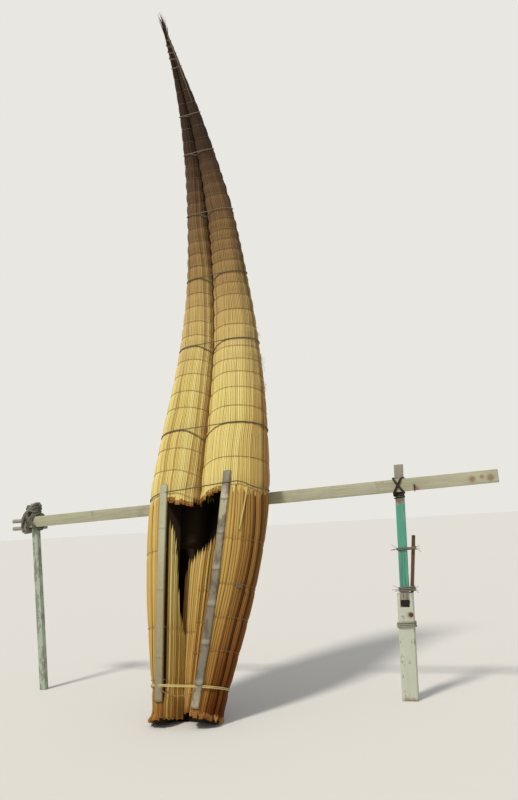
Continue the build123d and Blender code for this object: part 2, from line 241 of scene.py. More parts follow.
@dataclass(frozen=True)
class Half:
    """One side of the hull, its well and what is tied round it."""

    way: Way
    name: str
    fullness: float
    lath_foot: tuple[float, float]
    lath_head: tuple[float, float]
    wall_tips: tuple[float, ...]
    floor_tips: tuple[float, ...]
    cords: tuple[float, ...]
    stern_cords: tuple[float, ...]
    heel_cut: tuple[float, float]
    heel_flare: float
    # Share added to the painted light of the stern's reeds, with sun bleaching; lower on the right as painted
    # shade.
    stern_light_and_bleach: float
    seed: int
    lath_bow: float = 0

    ROPES = (
        MainRope(180), MainRope(1700, 6, 20), MainRope(2344, 1, 12), MainRope(2862, -2, 5),
        MainRope(3332), MainRope(3753), MainRope(4006), MainRope(4313),
    )
    # Depth and spread of the dents; a thin cord's depth grows along the stations given
    ROPE_DENT = (6.0, 30.0)
    LIP_DENT = (6.5, 30.0)
    STERN_CORD_DENT = (4.2, 17.0)
    CORD_DENTS = ((2100, 2300, 2900, 3300), (4.2, 6.0, 6.5, 9.0))
    CORD_SPREAD = 20.0
    LIP = 1250
    WALL_INSET = 30
    WALL_EDGE = 5
    BED_STATIONS = np.array((-60, 400, 860, 1250, 1500), dtype=float)
    BED_CROWN = np.array((-18, -24, -36, -92, -120), dtype=float)
    BED_DROP = 10

    @property
    def sign(self) -> int:
        """Minus one on the left and plus one on the right."""
        return self.way.value

    def ties(self) -> list[Tie]:
        """Every rope and cord round this side, with its dent."""
        ropes = [Tie(rope.station + (rope.left if self.way is Way.LEFT else rope.right), *self.ROPE_DENT)
                 for rope in self.ROPES]
        cords = [Tie(s, float(np.interp(s, *self.CORD_DENTS)), self.CORD_SPREAD) for s in self.cords]
        return ropes + cords + [Tie(s, *self.STERN_CORD_DENT) for s in self.stern_cords]

    def dent(self, station: Array, x: Array | float = 0, n: Array | float = 0) -> Array:
        """How far the ties draw the reeds in at places on the skin.

        Args:
            station: distances along the centreline.
            x: distances across the boat.
            n: heights over the centreline.

        Returns:
            The depth of the dent at each place.
        """
        scale = HULL.bite(station)
        dent, spread = self.LIP_DENT
        depth = dent * np.exp(-(((station - HULL.lip_rope_station(x, n)) / spread) ** 2))
        for tie in self.ties():
            away = (station - tie.station) / (tie.spread * np.sqrt(scale))
            depth = np.maximum(depth, tie.dent * np.exp(-(away**2)))
        return depth * scale

    def radii(self, station: Array) -> tuple[Array, Array, Array]:
        """Centre, half width and half depth of the bundle's round outline."""
        width, depth = HULL.size(station)
        width = width * self.fullness
        return HULL.bundle_centre * width, HULL.bundle_reach * width, depth

    def outline(self, station: Array, angle: Array, lift: float | Array = 0) -> tuple[Array, Array]:
        """Places on the round outline, lifted off it or sunk below it.

        Args:
            station: distances along the centreline.
            angle: radians from the outer flank, positive towards the deck.
            lift: height over the outline.

        Returns:
            The x and n of each place.
        """
        centre, across, depth = self.radii(station)
        x = self.sign * (centre + (across + lift) * np.cos(angle))
        return x, (depth + lift) * np.sin(angle)

    def lath_x(self, station: Array) -> Array:
        """Distance of the lath's middle from the middle of the boat."""
        (foot, foot_x), (head, head_x) = self.lath_foot, self.lath_head
        share = (station - foot) / (head - foot)
        bow = self.lath_bow * np.sin(math.pi * np.clip(share, 0, 1))
        return foot_x + (head_x - foot_x) * share + bow

    def wall_x(self, station: Array) -> Array:
        """Distance of the well's wall from the middle of the boat."""
        return self.lath_x(station) - self.WALL_INSET

    def bed(self, station: Array) -> tuple[Array, Array]:
        """Heights of the well floor: its crown, and its borders."""
        crown = smooth_curve(station, self.BED_STATIONS, self.BED_CROWN)
        return crown, crown - self.BED_DROP

    def wall_angle(self, station: Array) -> Array:
        """Angle on the outline at which the wall of the well begins."""
        centre, across, _ = self.radii(station)
        return np.arccos(np.clip((self.wall_x(station) + self.WALL_EDGE - centre) / across, -1, 1))


LEFT_HALF = Half(
    Way.LEFT, "left", 0.9314, (100, 106), (1335, 205),
    wall_tips=(1118, 1050, 840, 570, 500), floor_tips=(480, 816, 935, 937, 958, 985, 1003),
    cords=(1433, 1582, 1871, 1996, 2130, 2242, 2432, 2539, 2654, 2753, 2955, 3050, 3140, 3235, 3420,
           3505, 3590, 3675, 3835, 3920, 4085, 4160, 4240),
    stern_cords=(214, 491, 925), heel_cut=(-8, 14), heel_flare=40, stern_light_and_bleach=0.05, seed=11,
)
RIGHT_HALF = Half(
    Way.RIGHT, "right", 1.0686, (74, 115), (1392, 218),
    wall_tips=(1060, 1040, 1000, 960, 930), floor_tips=(1050, 1062, 1068, 1068, 1062, 1040, 1016),
    cords=(1488, 1843, 1981, 2102, 2202, 2302, 2471, 2586, 2700, 2791, 2960, 3040, 3116, 3187, 3268,
           3445, 3533, 3604, 3690, 3840, 3925, 4080, 4165, 4245),
    stern_cords=(371, 547, 728, 985), heel_cut=(14, 36), heel_flare=32, stern_light_and_bleach=-0.27, seed=23,
    lath_bow=21,
)
HALVES = (LEFT_HALF, RIGHT_HALF)


# Meshes


@dataclass
class Grower:
    """Collects vertices, faces and their values, and turns them into one mesh object."""

    verts: list[Array] = field(default_factory=list)
    faces: list[Array] = field(default_factory=list)
    slots: list[Array] = field(default_factory=list)
    values: dict[str, list[Array]] = field(default_factory=dict)
    count: int = 0

    def add(self, verts: Array, faces: Sequence[Array], values: dict[str, Array | float],
            slot: int = 0) -> None:
        """Add one shape.

        Args:
            verts: points in metres, three to a row.
            faces: arrays of faces of one size each, numbered within this shape.
            values: per-vertex values by name.
            slot: material slot of the faces.
        """
        for block in faces:
            if len(block):
                self.faces.append(np.asarray(block, dtype=np.int64) + self.count)
                self.slots.append(np.full(len(block), slot, dtype=np.int32))
        self.verts.append(np.asarray(verts, dtype=np.float64))
        for key, value in values.items():
            spread = np.broadcast_to(value, (len(verts),)).astype(np.float32)
            self.values.setdefault(key, []).append(spread)
        self.count += len(verts)

    def make(self, name: str, materials: Sequence[Material]) -> Object:
        """Turn what was added into an object.

        Args:
            name: the object's name.
            materials: its materials, slot by slot.

        Returns:
            The new object, linked to the scene.
        """
        verts = np.concatenate(self.verts)
        loops = np.concatenate([block.ravel() for block in self.faces])
        sizes = np.concatenate([np.full(len(block), block.shape[1]) for block in self.faces])
        starts = np.concatenate([[0], np.cumsum(sizes)[:-1]])
        mesh = bpy.data.meshes.new(name)
        mesh.vertices.add(len(verts))
        mesh.vertices.foreach_set("co", verts.astype(np.float32).ravel())
        mesh.loops.add(len(loops))
        mesh.loops.foreach_set("vertex_index", loops.astype(np.int32))
        mesh.polygons.add(len(sizes))
        mesh.polygons.foreach_set("loop_start", starts.astype(np.int32))
        mesh.polygons.foreach_set("material_index", np.concatenate(self.slots))
        mesh.polygons.foreach_set("use_smooth", np.ones(len(sizes), dtype=bool))
        for key, parts in self.values.items():
            mesh.attributes.new(key, "FLOAT", "POINT").data.foreach_set("value", np.concatenate(parts))
        for material in materials:
            mesh.materials.append(material)
        mesh.update(calc_edges=True)
        mesh.validate()
        return linked(name, mesh)


def linked(name: str, data: bpy.types.ID) -> Object:
    """New object of a mesh, lamp or camera, linked to the scene."""
    made = bpy.data.objects.new(name, data)
    bpy.context.scene.collection.objects.link(made)
    return made


def grid_faces(rows: int, columns: int, closed: bool = False, flip: bool = False) -> Array:
    """Quads of a grid of rings, from ring to ring.

    Args:
        rows: number of rings.
        columns: points in a ring.
        closed: whether the last ring joins the first.
        flip: whether the faces are turned over.

    Returns:
        An array of quads.
    """
    j, i = np.meshgrid(np.arange(rows if closed else rows - 1), np.arange(columns), indexing="ij")
    j2, i2 = (j + 1) % rows, (i + 1) % columns
    corners = [j * columns + i, j * columns + i2, j2 * columns + i2, j2 * columns + i]
    quads = np.stack(corners, axis=-1).reshape(-1, 4)
    return quads[:, ::-1] if flip else quads


def end_faces(rows: int, columns: int) -> list[Array]:
    """The two faces that close a grid of rings at its ends."""
    order = np.arange(columns)[None]
    return [order, (rows - 1) * columns + order[:, ::-1]]


def tube(path: Array, ring: Callable[[Array], Array], closed: bool = False) -> tuple[Array, list[Array]]:
    """Tube along a path, with a section that may turn and swell along it.

    Args:
        path: points in metres.
        ring: gives the section at each distance along the path, as (points, sides, 2) in metres.
        closed: whether the path ends where it starts.

    Returns:
        The vertices and the faces.
    """
    ahead = np.roll(path, -1, axis=0) - path
    if not closed:
        ahead[-1] = ahead[-2]
    back = np.roll(ahead, 1, axis=0)
    if not closed:
        back[0] = ahead[0]
    tangent = ahead + back
    tangent /= np.linalg.norm(tangent, axis=1, keepdims=True)
    length = np.concatenate([[0], np.cumsum(np.linalg.norm(ahead, axis=1))[:-1]])
    normal = np.zeros_like(tangent)
    any_way = (0.31, 0.17, 0.93)
    start = np.cross(tangent[0], any_way)
    normal[0] = start / np.linalg.norm(start)
    for k in range(1, len(path)):
        carried = normal[k - 1] - tangent[k] * np.dot(normal[k - 1], tangent[k])
        normal[k] = carried / np.linalg.norm(carried)
    side = np.cross(tangent, normal)
    section = ring(length)
    verts = path[:, None] + section[..., :1] * normal[:, None] + section[..., 1:] * side[:, None]
    rows, sides = section.shape[:2]
    faces = [grid_faces(rows, sides, closed, True)] + ([] if closed else end_faces(rows, sides))
    return verts.reshape(-1, 3), faces


def even_path(points: Array, step: float, closed: bool) -> Array:
    """Points at even steps along a polyline.

    Args:
        points: the polyline in metres.
        step: wanted distance between points.
        closed: whether the polyline ends where it starts.

    Returns:
        The new points.
    """
    line = np.vstack([points, points[:1]]) if closed else points
    length = np.concatenate([[0], np.cumsum(np.linalg.norm(np.diff(line, axis=0), axis=1))])
    count = max(4, int(round(length[-1] / step)))
    at = np.linspace(0, length[-1], count + 1)
    if closed:
        at = at[:-1]
    return np.stack([np.interp(at, length, line[:, k]) for k in range(3)], axis=-1)


@dataclass(frozen=True)
class Cord:
    """A twisted cord: its radius, its strands and how far one twist reaches."""

    radius: float
    strands: int = 3
    twist: float = 30
    sides: int = 9
    step: float = 6

    NOT_TWISTED = 4000
    GROOVE = 0.26

    def ring(self, length: Array) -> Array:
        """Lobed sections along the cord, each turned further than the last."""
        angle = np.arange(self.sides) * TURN / self.sides
        turn = TURN * length[:, None] / (self.twist * MM)
        lobe = np.abs(np.cos(self.strands * (angle[None] - turn) / 2))
        radius = self.radius * MM * (1 - self.GROOVE + self.GROOVE * lobe)
        return np.stack([radius * np.cos(angle), radius * np.sin(angle)], axis=-1)

    def lay(self, grower: Grower, path: Array, closed: bool = False, tone: float = 0.5,
            slot: int = 0) -> None:
        """Add the cord along a path.

        Args:
            grower: takes the mesh.
            path: points in metres.
            closed: whether it is a loop.
            tone: how light this cord is, from 0 to 1.
            slot: its material slot.
        """
        verts, faces = tube(even_path(path, self.step * MM, closed), self.ring, closed)
        grower.add(verts, faces, {"tone": tone}, slot)


def fix_normals(made: Object) -> None:
    """Turn the faces of a mesh outward."""
    mesh = bmesh.new()
    mesh.from_mesh(made.data)
    bmesh.ops.recalc_face_normals(mesh, faces=mesh.faces[:])
    mesh.to_mesh(made.data)
    mesh.free()


def mesh_object(name: str, mesh: bmesh.types.BMesh, material: Material) -> Object:
    """Object of a bmesh, linked to the scene.

    Args:
        name: the object's name.
        mesh: its shape, which is freed.
        material: its only material.

    Returns:
        The new object.
    """
    made = linked(name, bpy.data.meshes.new(name))
    mesh.to_mesh(made.data)
    mesh.free()
    made.data.materials.clear()
    made.data.materials.append(material)
    return made


# Finishes


def linear(code: str) -> tuple[float, float, float, float]:
    """Linear colour of an sRGB hex value."""
    parts = [int(code[k:k + 2], 16) / 255 for k in (1, 3, 5)]
    return tuple(p / 12.92 if p <= 0.04045 else ((p + 0.055) / 1.055) ** 2.4 for p in parts) + (1.0,)


# Settings of nodes; the results of these sums are held from 0 to 1
SUM, DIFFERENCE, PRODUCT, PRODUCT_SUM, POWER, SIZE = (
    {"operation": name, "use_clamp": True}
    for name in ("ADD", "SUBTRACT", "MULTIPLY", "MULTIPLY_ADD", "POWER", "ABSOLUTE")
)
FREE_PRODUCT, FREE_PRODUCT_SUM = {"operation": "MULTIPLY"}, {"operation": "MULTIPLY_ADD"}
MIX, TINT = ({"data_type": "RGBA", "blend_type": name} for name in ("MIX", "MULTIPLY"))
SMOOTH = {"interpolation_type": "SMOOTHSTEP"}

# A colour ramp: positions from 0 to 1 with hex colours
Stops = Sequence[tuple[float, str]]


def add_node(material: Material, kind: str, settings: dict, *inputs, out: str = "", stops: Stops = (),
             **named) -> Socket:
    """Add a node to a material, with its settings and links.

    Args:
        material: whose tree takes it.
        kind: Blender's name of the node, after ShaderNode.
        settings: its own properties.
        inputs: values or sockets for the inputs that its settings show, in order.
        out: name of the output, or none for the first that its settings show.
        stops: colours of a ramp.
        named: values or sockets by the input's name.

    Returns:
        The output.
    """
    tree = material.node_tree
    made = tree.nodes.new(f"ShaderNode{kind}")
    for key, value in settings.items():
        setattr(made, key, value)
    for k, (position, code) in enumerate(stops):
        elements = made.color_ramp.elements
        element = elements[k] if k < 2 else elements.new(position)
        element.position = position
        element.color = linear(code)
    shown = [socket for socket in made.inputs if socket.enabled]
    for socket, value in [*zip(shown, inputs), *((made.inputs[key], value) for key, value in named.items())]:
        if isinstance(value, Socket):
            tree.links.new(value, socket)
        else:
            socket.default_value = value
    return made.outputs[out] if out else next(socket for socket in made.outputs if socket.enabled)


def new_material(name: str) -> tuple[Material, Adder]:
    """A material with one principled shader, and the function that adds nodes to it."""
    material = bpy.data.materials.new(name)
    material.use_nodes = True
    return material, partial(add_node, material)


def dress(material: Material, colour: Socket, roughness: float, relief: Socket, depth_mm: float,
          specular: float = 0.5) -> Material:
    """Give a material its colour, gloss and relief.

    Args:
        material: takes them.
        colour: its colour.
        roughness: roughness of its surface.
        relief: height of its surface, from 0 to 1.
        depth_mm: how high the relief is.
        specular: level of its reflection.

    Returns:
        The material.
    """
    shader, links = material.node_tree.nodes["Principled BSDF"], material.node_tree.links
    shader.inputs["Roughness"].default_value = roughness
    shader.inputs["Specular IOR Level"].default_value = specular
    bump = add_node(material, "Bump", {}, 1.0, depth_mm * MM, Height=relief)
    links.new(colour, shader.inputs["Base Color"])
    links.new(bump, shader.inputs["Normal"])
    return material


def stretched(node: Adder, stretch: Sequence[float], scale: float, detail: float,
              rough: float = 0.6) -> Socket:
    """Noise in object space, stretched along the axes.

    Args:
        node: adds a node.
        stretch: scale for each axis.
        scale: the noise's scale per metre.
        detail: its octaves.
        rough: share of the fine ones.

    Returns:
        Its value.
    """
    where = node("TexCoord", {}, out="Object")
    return node("TexNoise", {}, node("Mapping", {}, where, Scale=stretch), scale, detail, rough)


@dataclass(frozen=True)
class ReedFinish:
    """Dried totora reed: a glossy cellulose skin with fine ribs, stained by damp and darker towards the foot.

    The eye sees satin straw stalks, each of its own tone, with long fine ribs. Light and shade are painted:
    each stalk moves from its shaded to its lit ramp as it faces the key light, which stands also for sun
    bleaching; the damp stain is painted stronger on the side away from that light, and the stalks' edges
    darken as painted shade in the seams. Stations are in millimetres.
    it doesn't, with dark seams and long fine ribs. Stations are in millimetres.
    """

    name: str
    tones: Stops
    shaded: Stops
    seam_shade: str
    weathered: Stops = ()
    damp: str = "#D59A52"
    damp_below: float = 1000
    foot: str = "#B99672"
    foot_from: float = 210
    roughness: float = 0.55
    specular: float = 0.18
    rib_mm: float = 2.2
    rib_stretch: float = 130
    ribs_aside: float = 2.2
    rib_depth: float = 0.9
    seam_power: float = 2.1
    worn_over: float = 500
    worn_wander: float = 250

    REED_SHIFT = 997.0

    def make(self) -> Material:
        """Build the material."""
        material, node = new_material(self.name)
        tone, station, across, bleach = (node("Attribute", {"attribute_name": key}, out="Fac")
                                         for key in ("tone", "station", "across", "bleach"))
        reed = node("Math", FREE_PRODUCT_SUM, tone, self.REED_SHIFT,
                    node("Math", FREE_PRODUCT, across, self.ribs_aside))
        along = node("Math", FREE_PRODUCT, station, 1 / (self.rib_stretch * self.rib_mm * MM))
        place = node("CombineXYZ", {}, reed, along)
        ribs = node("TexNoise", {"noise_dimensions": "2D"}, place, 1.0, 3.0, 0.65)
        blotch = stretched(node, (1, 1, 0.35), 5.0, 4.0)
        fine = stretched(node, (1, 1, 0.06), 190.0, 2.0)
        factor = node("Math", PRODUCT_SUM, ribs, 0.42, node("Math", PRODUCT, tone, 0.62))
        # Painted light and shade: the lit ramp where the reed faces the key light, the shaded ramp where it
        # doesn't, standing also for sun bleaching.
        sunlit = node("Math", SUM, bleach, node("Math", PRODUCT_SUM, blotch, 0.5, -0.25))
        colour = node("Mix", MIX, sunlit, node("ValToRGB", {}, factor, stops=self.shaded),
                      node("ValToRGB", {}, factor, stops=self.tones))
        if self.weathered:
            colour = self.age(node, colour, station, blotch, self.shade_of_age(node, bleach, fine, factor))
        # Damp stain towards the foot, painted stronger where the reed faces away from the key light, as
        # painted shade.
        low = node("MapRange", SMOOTH, station, self.damp_below * MM, -0.02)
        uneven = node("Math", PRODUCT_SUM, bleach, -0.45, node("Math", PRODUCT_SUM, blotch, 1.0, 0.45))
        colour = node("Mix", TINT, node("Math", PRODUCT, low, uneven), colour, linear(self.damp))
        foot = node("MapRange", SMOOTH, station, self.foot_from * MM, -0.03)
        colour = node("Mix", TINT, node("Math", PRODUCT, foot, 0.75), colour, linear(self.foot))
        # Painted shade: each stalk darkens towards its edges, as the shade in the seams between reeds.
        edge = node("Math", POWER, node("Math", SIZE, across), self.seam_power)
        colour = node("Mix", MIX, node("Math", PRODUCT, edge, 0.8), colour, linear(self.seam_shade))
        relief = node("Math", PRODUCT_SUM, fine, 0.6, node("Math", PRODUCT, ribs, 0.4))
        return dress(material, colour, self.roughness, relief, self.rib_depth, self.specular)

    def shade_of_age(self, node: Adder, bleach: Socket, fine: Socket, factor: Socket) -> Socket:
        """How light a weathered place is, from its painted light and bleach, its fibres and its reed."""
        return node("Math", PRODUCT_SUM, bleach, 0.25, node("Math", PRODUCT_SUM, fine, 0.35, factor))

    def age(self, node: Adder, colour: Socket, station: Socket, blotch: Socket, shade: Socket) -> Socket:
        """Weather the colour towards the bow.

        Args:
            node: adds a node.
            colour: colour of the fresh reeds.
            station: distance along the hull in metres.
            blotch: unevenness, from 0 to 1.
            shade: how light a place is.

        Returns:
            The weathered colour.
        """
        first, last = self.weathered[0][0], self.weathered[-1][0]
        start = (first + self.worn_wander) * MM
        uneven = node("Math", FREE_PRODUCT_SUM, blotch, 0.5, station)
        aged = node("MapRange", {}, uneven, start, (last + self.worn_wander) * MM)
        worn = node("MapRange", {}, uneven, start, (first + self.worn_over + self.worn_wander) * MM)
        stops = [((at - first) / (last - first), code) for at, code in self.weathered]
        fibres = node("ValToRGB", {}, shade, stops=((0.25, "#5A5450"), (1.0, "#FFFFFF")))
        old = node("Mix", TINT, 1.0, node("ValToRGB", {}, aged, stops=stops), fibres)
        return node("Mix", MIX, worn, colour, old)


@dataclass(frozen=True)
class CutFinish:
    """Cut end of a reed: pale spongy pith in a tan rim, frayed and stained."""

    name: str
    tones: Stops
    grain: float = 160.0

    def make(self) -> Material:
        """Build the material."""
        material, node = new_material(self.name)
        grain = stretched(node, (1, 1, 1), self.grain, 3.0)
        tone = node("Attribute", {"attribute_name": "tone"}, out="Fac")
        factor = node("Math", PRODUCT_SUM, grain, 0.5, node("Math", PRODUCT, tone, 0.5))
        return dress(material, node("ValToRGB", {}, factor, stops=self.tones), 0.95, grain, 1.5, 0.05)


@dataclass(frozen=True)
class CordFinish:
    """Laid plant-fibre cord: matt twisted strands with fine fibres and long streaks, each cord a shade apart.
    """

    name: str
    tones: Stops
    fibre_mm: float = 1.1
    roughness: float = 0.85

    def make(self) -> Material:
        """Build the material."""
        material, node = new_material(self.name)
        fibres = stretched(node, (1, 1, 1), 0.4 / (self.fibre_mm * MM), 3.0)
        long = stretched(node, (1, 1, 1), 9.0, 2.0)
        tone = node("Math", PRODUCT, node("Attribute", {"attribute_name": "tone"}, out="Fac"), 0.4)
        factor = node("Math", PRODUCT_SUM, fibres, 0.4, node("Math", PRODUCT_SUM, long, 0.3, tone))
        colour = node("ValToRGB", {}, factor, stops=self.tones)
        return dress(material, colour, self.roughness, fibres, 0.8, 0.2)


@dataclass(frozen=True)
class TimberFinish:
    """Sawn softwood left out by the sea: silvered grain, dark checks, and what is left of its paint.

    Stains, and painted shadows of the rail, are places in metres with their radius. Paint lies between two
    heights in metres.
    """

    name: str
    bare: Stops
    spot: str
    spot_amount: float
    paint: Stops = ()
    paint_cover: float = 0.0
    along: tuple[float, float, float] = (1, 1, 0.05)
    grain_mm: float = 5.0
    grain_depth: float = 1.2
    bare_above: float = 10.0
    bare_below: float = -1.0
    stains_and_shadows: tuple[tuple[float, float, float, float], ...] = ()
    stain_and_shadow_colour: str = "#7B4A33"
    bare_roughness: float = 0.85
    paint_roughness: float = 0.6

    def make(self) -> Material:
        """Build the material."""
        material, node = new_material(self.name)
        grain = stretched(node, self.along, 1 / (self.grain_mm * MM), 5.0, 0.7)
        coarse = stretched(node, tuple(min(1, 4 * v) for v in self.along), 14.0, 3.0)
        patches = stretched(node, (1, 1, 0.7), 7.0, 5.0, 0.7)
        where = node("TexCoord", {}, out="Object")
        fibre = node("Math", PRODUCT_SUM, grain, 0.7, node("Math", PRODUCT, coarse, 0.4))
        spots = node("MapRange", SMOOTH, patches, 0.57, 0.72, 0.0, self.spot_amount)
        colour = node("Mix", MIX, spots, node("ValToRGB", {}, fibre, stops=self.bare), linear(self.spot))
        if self.paint:
            shade = node("Math", PRODUCT_SUM, coarse, 0.6, node("Math", PRODUCT, grain, 0.4))
            colour = node("Mix", MIX, self.cover(node, where, patches), colour,
                          node("ValToRGB", {}, shade, stops=self.paint))
        # Stains, and painted shadows of the rail, darken halos round their places.
        for *spot, radius in self.stains_and_shadows:
            away = node("VectorMath", {"operation": "DISTANCE"}, where, tuple(spot))
            wander = node("Math", FREE_PRODUCT_SUM, patches, 0.03, away)
            halo = node("MapRange", SMOOTH, wander, radius + 0.015, 0.3 * radius + 0.015, 0.0, 0.75)
            share = node("Math", PRODUCT, halo, node("Math", PRODUCT, grain, 1.6))
            colour = node("Mix", MIX, share, colour, linear(self.stain_and_shadow_colour))
        roughness = self.paint_roughness if self.paint else self.bare_roughness
        return dress(material, colour, roughness, grain, self.grain_depth, 0.3)

    def cover(self, node: Adder, where: Socket, patches: Socket) -> Socket:
        """Where the paint still holds.

        Args:
            node: adds a node.
            where: places in object space.
            patches: unevenness, from 0 to 1.

        Returns:
            One on paint and zero on bare wood.
        """
        chips = stretched(node, (1, 1, 0.4), 34.0, 5.0, 0.75)
        worn = node("Math", PRODUCT, node("Math", DIFFERENCE, patches, 0.35), 0.6)
        cover = node("MapRange", SMOOTH, node("Math", SUM, chips, worn), 0.92 - self.paint_cover,
                     0.97 - self.paint_cover)
        ragged = node("Math", FREE_PRODUCT_SUM, chips, 0.06, node("SeparateXYZ", {}, where, out="Z"))
        low = node("Math", {"operation": "LESS_THAN"}, ragged, self.bare_above)
        high = node("Math", {"operation": "GREATER_THAN"}, ragged, self.bare_below)
        return node("Math", PRODUCT, cover, node("Math", PRODUCT, low, high))


@dataclass(frozen=True)
class CaneFinish:
    """Split giant cane: a hard waxy rind, green-grey when fresh and mottled black by mould with age.

    Its colour changes along the lath, with a dark ring and a pale band at every joint of the cane.
    """

    name: str
    along: Stops
    mottle: str
    mottle_from: float
    pale: str = "#C6C1AC"
    dusty: str = "#8B8268"
    length: float = 1400

    def make(self) -> Material:
        """Build the material."""
        material, node = new_material(self.name)
        streaks = stretched(node, (1, 1, 0.04), 120.0, 4.0)
        clouds = stretched(node, (1, 1, 0.45), 16.0, 5.0, 0.7)
        station, ring, band = (node("Attribute", {"attribute_name": key}, out="Fac")
                               for key in ("station", "ring", "band"))
        place = node("Math", {"operation": "DIVIDE"}, station, self.length * MM)
        colour = node("ValToRGB", {}, place, stops=[(at / self.length, code) for at, code in self.along])
        colour = node("Mix", TINT, node("Math", PRODUCT, streaks, 0.45), colour, linear(self.dusty))
        mould = node("MapRange", SMOOTH, clouds, self.mottle_from, self.mottle_from + 0.12)
        layers = (mould, 0.75, self.mottle), (band, 0.7, self.pale), (ring, 0.8, self.mottle)
        for share, amount, code in layers:
            colour = node("Mix", MIX, node("Math", PRODUCT, share, amount), colour, linear(code))
        return dress(material, colour, 0.5, streaks, 0.6)


